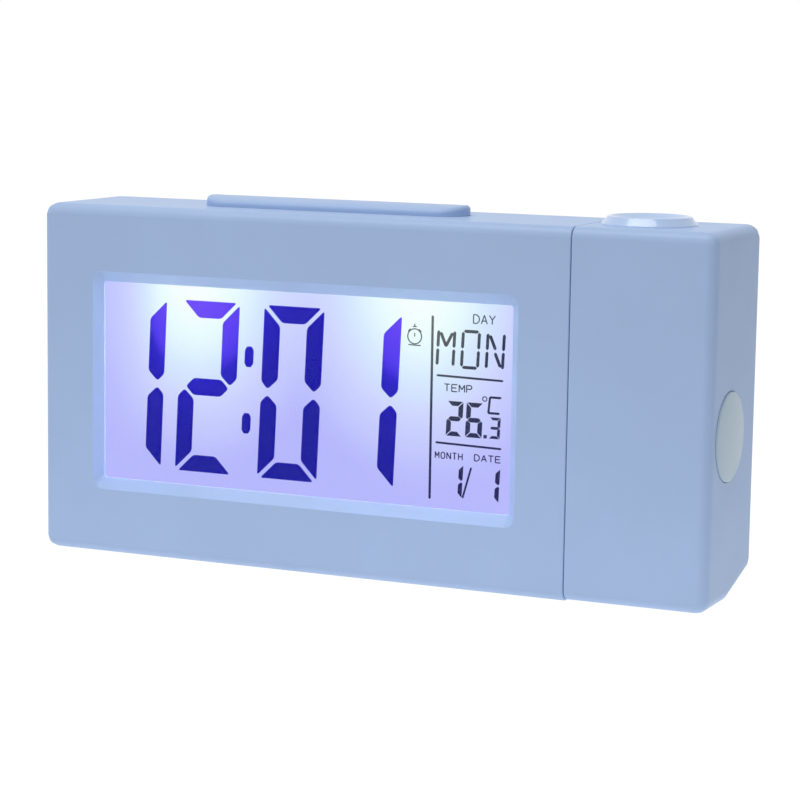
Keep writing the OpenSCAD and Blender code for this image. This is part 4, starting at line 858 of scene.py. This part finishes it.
def make_lens_ring():
    """A low turned ring with sloping sides, and a shallow funnel round the way out for the light."""
    outside = [(6.8, -2.2), (6.8, 0), (9.3, 0), (9.3, 0.12), (9.22, 0.26), (8.32, 1.3)]
    crest_r, crest_at = 0.66, (7.78, 1.04)
    crest = []
    for k in range(7):
        a = math.radians(48 - 76 * k / 6)
        crest.append((crest_at[0] + crest_r * math.sin(a), crest_at[1] + crest_r * math.cos(a)))
    funnel = [(5.35, 0.42), (5.22, 0.3), (5.2, 0.1), (5.2, -2.2)]
    bm = spun(outside + crest + funnel, "z", (LENS_X, AXIS_Y, CASE_H), steps=128)
    ring = stand_in_scene("lens_bezel", bm)
    # The ring takes the copy of the case plastic whose lighter colour is painted light.
    settle(ring, ring_painted_lighter, "projector_head", ["lens_ring"], crease=50)


def make_focus_dial():
    """The dial's domed face, its rounded rim and its shaft."""
    dome_r, dome_rise, shaft_r, shaft_x = 8.35, 0.5, 1.45, 134.55
    dome = []
    for k in range(9):
        r = dome_r * k / 8
        dome.append((r, DIAL_FACE_X + dome_rise * (1 - (r / DIAL_R) ** 2)))
    rim_steps = ((0.2, 0.01), (0.08, -0.06), (0.02, -0.16), (0, -0.3))
    rim = [(DIAL_R - inset, DIAL_FACE_X + rise) for inset, rise in rim_steps]
    back = [(DIAL_R, DIAL_SEAT_X + 0.2), (DIAL_R - 0.1, DIAL_SEAT_X + 0.1), (shaft_r, DIAL_SEAT_X + 0.1)]
    shaft = [(shaft_r, shaft_x), (shaft_r - 0.1, shaft_x - 0.1), (0, shaft_x - 0.1)]
    bm = spun(dome + rim + back + shaft, "x", (0, DIAL_Y, DIAL_Z), steps=128)
    dial = stand_in_scene("focus_dial_cap", bm)
    settle(dial, finishes["dial_pale"], "focus_dial", ["focus_dial"])


# ---- Display ----

# How far a digit leans for each millimetre up, and the height that the bars' sizes are given for
SLANT = 0.042
FULL_HEIGHT = 35.2


def digit_bars(left, right, top, bottom, weight=1.0):
    """The seven bars of a digit as (X, Z) outlines, upright, by their usual letters."""
    k = (top - bottom) / FULL_HEIGHT
    middle = (top + bottom) / 2
    upright = 3.7 * k * weight
    depth = 3.45 * k * weight
    half = 1.75 * k * weight

    def flip(points):
        return [(left + right - x, z) for x, z in points]

    def drop(points):
        return [(x, top + bottom - z) for x, z in points]

    upper_right = [
        (right, top - 0.5 * k),
        (right, middle + 2.1 * k),
        (right - 1.5 * k, middle + 0.6 * k),
        (right - upright, middle + 0.6 * k + 0.55 * upright),
        (right - upright, top - 0.5 * k - upright),
    ]
    across = [
        (left + 0.7 * k, top),
        (right - 0.7 * k, top),
        (right - 0.7 * k - depth, top - depth),
        (left + 0.7 * k + depth, top - depth),
    ]
    centre = [
        (left + 1.8 * k, middle),
        (left + 1.8 * k + half, middle + half),
        (right - 1.8 * k - half, middle + half),
        (right - 1.8 * k, middle),
        (right - 1.8 * k - half, middle - half),
        (left + 1.8 * k + half, middle - half),
    ]
    return {
        "a": across,
        "b": upper_right,
        "c": drop(upper_right),
        "d": drop(across),
        "e": flip(drop(upper_right)),
        "f": flip(upper_right),
        "g": centre,
    }


# The bars of each digit that is shown
DIGITS = {"0": "abcdef", "1": "bc", "2": "abged", "3": "abgcd", "6": "afgecd"}


def plate(bm, outline, slant_z=HUB_Z, slant=SLANT, blunt=0.0):
    """A thin printed shape with this (X, Z) outline, just in front of the film. blunt rounds its corners."""
    part = bmesh.new()
    part.faces.new([part.verts.new((x + slant * (z - slant_z), FILM_FRONT_Y - 0.03, z)) for x, z in outline])
    if blunt:
        rounding = {"segments": 2, "profile": 0.5, "affect": "VERTICES", "clamp_overlap": True}
        bmesh.ops.bevel(part, geom=part.verts, offset=blunt, **rounding)
    thicken(part, (0, -0.05, 0))
    mesh = bpy.data.meshes.new("plate")
    part.to_mesh(mesh)
    part.free()
    bm.from_mesh(mesh)
    bpy.data.meshes.remove(mesh)


def stroke(bm, start, end, width, slant_z=HUB_Z, slant=SLANT):
    """A straight bar with pointed ends."""
    a, b = Vector((*start, 0)), Vector((*end, 0))
    along = (b - a).normalized() * width / 2
    a, b = a - along * 0.6, b + along * 0.6
    across = Vector((-along.y, along.x, 0))
    corners = [a, a + along + across, b - along + across, b, b - along - across, a + along - across]
    plate(bm, [(p.x, p.y) for p in corners], slant_z, slant)


def add_digit(bm, digit, left, right, top, bottom, slant_z, weight=1.0):
    """A digit of bars that leans about the height slant_z."""
    bars = digit_bars(left, right, top, bottom, weight)
    for letter in DIGITS[digit]:
        plate(bm, bars[letter], slant_z, blunt=0.5 * (top - bottom) / FULL_HEIGHT)


# Plain capitals, each a list of lines through (X, Z) points in a cell one wide and one high
LETTERS = {
    "A": ["0,0 0.5,1 1,0", "0.2,0.33 0.8,0.33"],
    "D": ["0,0 0,1 0.6,1 1,0.7 1,0.3 0.6,0 0,0"],
    "E": ["0,0 0,1 1,1", "0,0.52 0.85,0.52", "0,0 1,0"],
    "H": ["0,0 0,1", "1,0 1,1", "0,0.5 1,0.5"],
    "M": ["0,0 0,1 0.5,0.35 1,1 1,0"],
    "N": ["0,0 0,1 1,0 1,1"],
    "O": ["0,0.2 0,0.8 0.3,1 0.7,1 1,0.8 1,0.2 0.7,0 0.3,0 0,0.2"],
    "P": ["0,0 0,1 0.8,1 1,0.75 0.8,0.48 0,0.48"],
    "T": ["0.5,0 0.5,1", "0,1 1,1"],
    "Y": ["0.5,0 0.5,0.5 0,1", "0.5,0.5 1,1"],
}


def add_words(bm, text, x, z, height, width):
    """Plain capitals with their lower left corner at (x, z)."""
    weight, spacing = 0.22, 0.45
    pitch = width / len(text)
    wide, high = pitch - spacing, height - weight
    for k, letter in enumerate(text):
        left, base = x + k * pitch + weight, z + weight / 2
        for line in LETTERS[letter]:
            points = [[float(v) for v in point.split(",")] for point in line.split()]
            points = [(left + u * wide, base + v * high) for u, v in points]
            for a, b in zip(points, points[1:]):
                stroke(bm, a, b, weight, slant=0)


def add_lines(bm, width, *lines):
    """Upright straight lines, each from one (X, Z) point to another."""
    for a, b in lines:
        stroke(bm, a, b, width, slant=0)


def add_circle(bm, x, z, r, width):
    """A ring of sixteen short lines."""
    angles = [math.tau * k / 16 for k in range(17)]
    points = [(x + r * math.cos(a), z + r * math.sin(a)) for a in angles]
    add_lines(bm, width, *zip(points, points[1:]))


def make_time():
    """The hours and minutes, 12:01, with the two dots of the colon."""
    bm = bmesh.new()
    top, bottom, width = 53.7, 18.4, 13.4
    middle = (top + bottom) / 2
    for digit, left in (("1", 13.4), ("2", 30.2), ("0", 49.2), ("1", 66.1)):
        add_digit(bm, digit, left, left + width, top, bottom, middle)
    colon_x = 46.2
    dot = [(-1, -1.3), (-0.5, -2.1), (0.5, -2.1), (1, -1.3), (1, 1.3), (0.5, 2.1), (-0.5, 2.1), (-1, 1.3)]
    for z in (42.95, 29.3):
        plate(bm, [(colon_x + x, z + dz) for x, dz in dot], middle)
    time = stand_in_scene("display_time", bm)
    settle(time, segment_ink, "case")


def add_weekday(bm):
    """The weekday's three letters, each of thin bars."""
    low, high, width, thickness = 43.9, 51.0, 3.4, 0.62
    half = (low + high) / 2
    bars = {
        "left": [((0, low + 0.3), (0, half - 0.3)), ((0, half + 0.3), (0, high - 0.3))],
        "right": [((width, low + 0.3), (width, half - 0.3)), ((width, half + 0.3), (width, high - 0.3))],
        "top": [((0.3, high), (width - 0.3, high))],
        "bottom": [((0.3, low), (width - 0.3, low))],
        "fall": [((0.5, high - 0.6), (width / 2, half + 0.4))],
        "rise": [((width - 0.5, high - 0.6), (width / 2, half + 0.4))],
        "run": [((width / 2, half - 0.4), (width - 0.5, low + 0.6))],
    }
    letters = {88.0: "left right rise fall", 93.2: "left right top bottom", 98.4: "left right fall run"}
    for x, names in letters.items():
        for name in names.split():
            for (x0, z0), (x1, z1) in bars[name]:
                stroke(bm, (x + x0, z0), (x + x1, z1), thickness, half)


def add_temperature(bm):
    """26.3 with a C of three lines and the degree ring."""
    lean_z, weight = 33.6, 1.35
    add_digit(bm, "2", 90.1, 93.5, 37.1, 30.2, lean_z, weight)
    add_digit(bm, "6", 94.2, 97.7, 37.1, 30.2, lean_z, weight)
    plate(bm, [(98.1, 30.25), (98.8, 30.25), (98.8, 30.95), (98.1, 30.95)], lean_z)
    add_digit(bm, "3", 99.2, 101.5, 34.5, 30.3, lean_z, weight)
    corners = [(101.5, 38.4), (99.2, 38.4), (98.9, 35.3), (101.2, 35.3)]
    add_lines(bm, 0.45, *zip(corners, corners[1:]))
    add_circle(bm, 98.1, 38.0, 0.45, 0.22)


def add_date(bm):
    """1/1, the month and the day."""
    lean_z, weight = 20.9, 1.3
    add_digit(bm, "1", 90.8, 93.7, 24.6, 18.0, lean_z, weight)
    add_digit(bm, "1", 98.6, 101.5, 24.5, 17.7, lean_z, weight)
    add_lines(bm, 0.4, ((93.8, 18.1), (95.5, 24.2)))


def add_alarm_sign(bm):
    """A little clock on a foot, with its hand, its knob and its two bells."""
    x, z, r = 83.0, 49.35, 1.5
    add_circle(bm, x, z, r, 0.24)
    hand = ((x, z), (x, z + 0.65))
    knob = [((x - 0.4, z + 1.95), (x + 0.4, z + 1.95)), ((x, z + 1.95), (x, z + 2.45))]
    bells = [((x - 1.4, z + 0.95), (x - 0.9, z + 1.45)), ((x + 0.9, z + 1.45), (x + 1.4, z + 0.95))]
    foot = ((x - 1.3, z - 1.7), (x + 1.3, z - 1.75))
    add_lines(bm, 0.22, hand, *knob, *bells, foot)


def make_marks():
    """The day, the temperature, the date and the alarm sign beside the time."""
    bm = bmesh.new()
    add_lines(bm, 0.5, ((86.8, 53.6), (86.75, 17.4)))
    add_lines(bm, 0.42, ((87.9, 42.0), (101.8, 41.75)), ((87.9, 28.7), (101.7, 28.4)))
    add_words(bm, "DAY", 95.2, 52.55, 1.9, 5.0)
    add_words(bm, "TEMP", 89.3, 38.9, 1.6, 6.3)
    add_words(bm, "MONTH", 87.6, 25.5, 1.45, 6.2)
    add_words(bm, "DATE", 95.95, 25.55, 1.45, 5.9)
    add_weekday(bm)
    add_temperature(bm)
    add_date(bm)
    add_alarm_sign(bm)
    marks = stand_in_scene("display_marks", bm)
    settle(marks, mark_ink, "case")


make_case_front()
make_case_back()
make_keys()
make_battery_door()
make_snooze_bar()
make_head()
make_lens_ring()
make_focus_dial()
make_time()
make_marks()


# ---- Floor, light and camera ----


def seen_plainly(tree):
    """1 for the rays that find plain white (camera, glossy and transmission rays) and 0 for the others."""
    rays = make_node(tree, "ShaderNodeLightPath").outputs
    seen = maths(tree, "MAXIMUM", rays["Is Camera Ray"], rays["Is Glossy Ray"])
    return maths(tree, "MAXIMUM", seen, rays["Is Transmission Ray"])


def make_floor():
    """A pale floor: it shows as white, keeps a soft shadow, and lights the clock from below a little."""
    bm = bmesh.new()
    bmesh.ops.create_grid(bm, x_segments=1, y_segments=1, size=6)
    floor = stand_in_scene("floor", bm)
    material, tree, shader = blank_material("floor_white")
    reach = vector_maths(tree, "LENGTH", coordinates(tree))
    lighting = map_range(tree, reach, 0.1, 0.3, 0.9, 0.36, smooth=True)
    glow = map_range(tree, seen_plainly(tree), 0.0, 1.0, lighting, 0.95)
    tree.links.new(glow, shader["Emission Strength"])
    shader["Emission Color"].default_value = (1, 1, 1, 1)
    shader["Base Color"].default_value = (0.16, 0.16, 0.165, 1)
    shader["Roughness"].default_value = 0.9
    shader["Specular IOR Level"].default_value = 0
    floor.data.materials.append(material)


def make_world():
    """White all round, which lights the clock evenly."""
    world = bpy.data.worlds.new("studio")
    world.use_nodes = True
    bpy.context.scene.world = world
    tree = world.node_tree
    background = tree.nodes["Background"].inputs
    background["Color"].default_value = (1, 1, 1, 1)
    tree.links.new(map_range(tree, seen_plainly(tree), 0.0, 1.0, 0.37, 1.0), background["Strength"])


def add_softbox(name, place, aim, size, power):
    """A flat lamp that faces the point aim."""
    lamp = bpy.data.lights.new(name, "AREA")
    lamp.shape = "RECTANGLE"
    lamp.size, lamp.size_y = size
    lamp.energy = power
    box = bpy.data.objects.new(name, lamp)
    bpy.context.scene.collection.objects.link(box)
    box.location = place
    box.rotation_euler = (Vector(aim) - Vector(place)).to_track_quat("-Z", "Y").to_euler()


def make_camera():
    """The photograph's viewpoint: a long lens, at the clock's right and a little above it."""
    yaw, pitch, roll = (math.radians(a) for a in (24.07, -8.04, 0.86))
    camera = bpy.data.cameras.new("camera")
    camera.sensor_width = 36
    camera.lens = 116.29
    camera.clip_start, camera.clip_end = 0.01, 20
    holder = bpy.data.objects.new("camera", camera)
    bpy.context.scene.collection.objects.link(holder)
    turn = Matrix.Rotation(yaw, 4, "Z") @ Matrix.Rotation(math.pi / 2 + pitch, 4, "X")
    turn = turn @ Matrix.Rotation(roll, 4, "Z")
    holder.matrix_world = Matrix.Translation((0.21354, -0.47336, 0.10786)) @ turn
    bpy.context.scene.camera = holder


make_floor()
make_world()
add_softbox("key", place=(-0.1, -0.28, 0.87), aim=(0, 0, 0.03), size=(0.7, 0.5), power=4.6)
add_softbox("fill", place=(-0.7, -1.0, 0.4), aim=(0, 0, 0.03), size=(0.8, 0.6), power=0.5)
make_camera()
bpy.context.scene.view_settings.view_transform = "Standard"
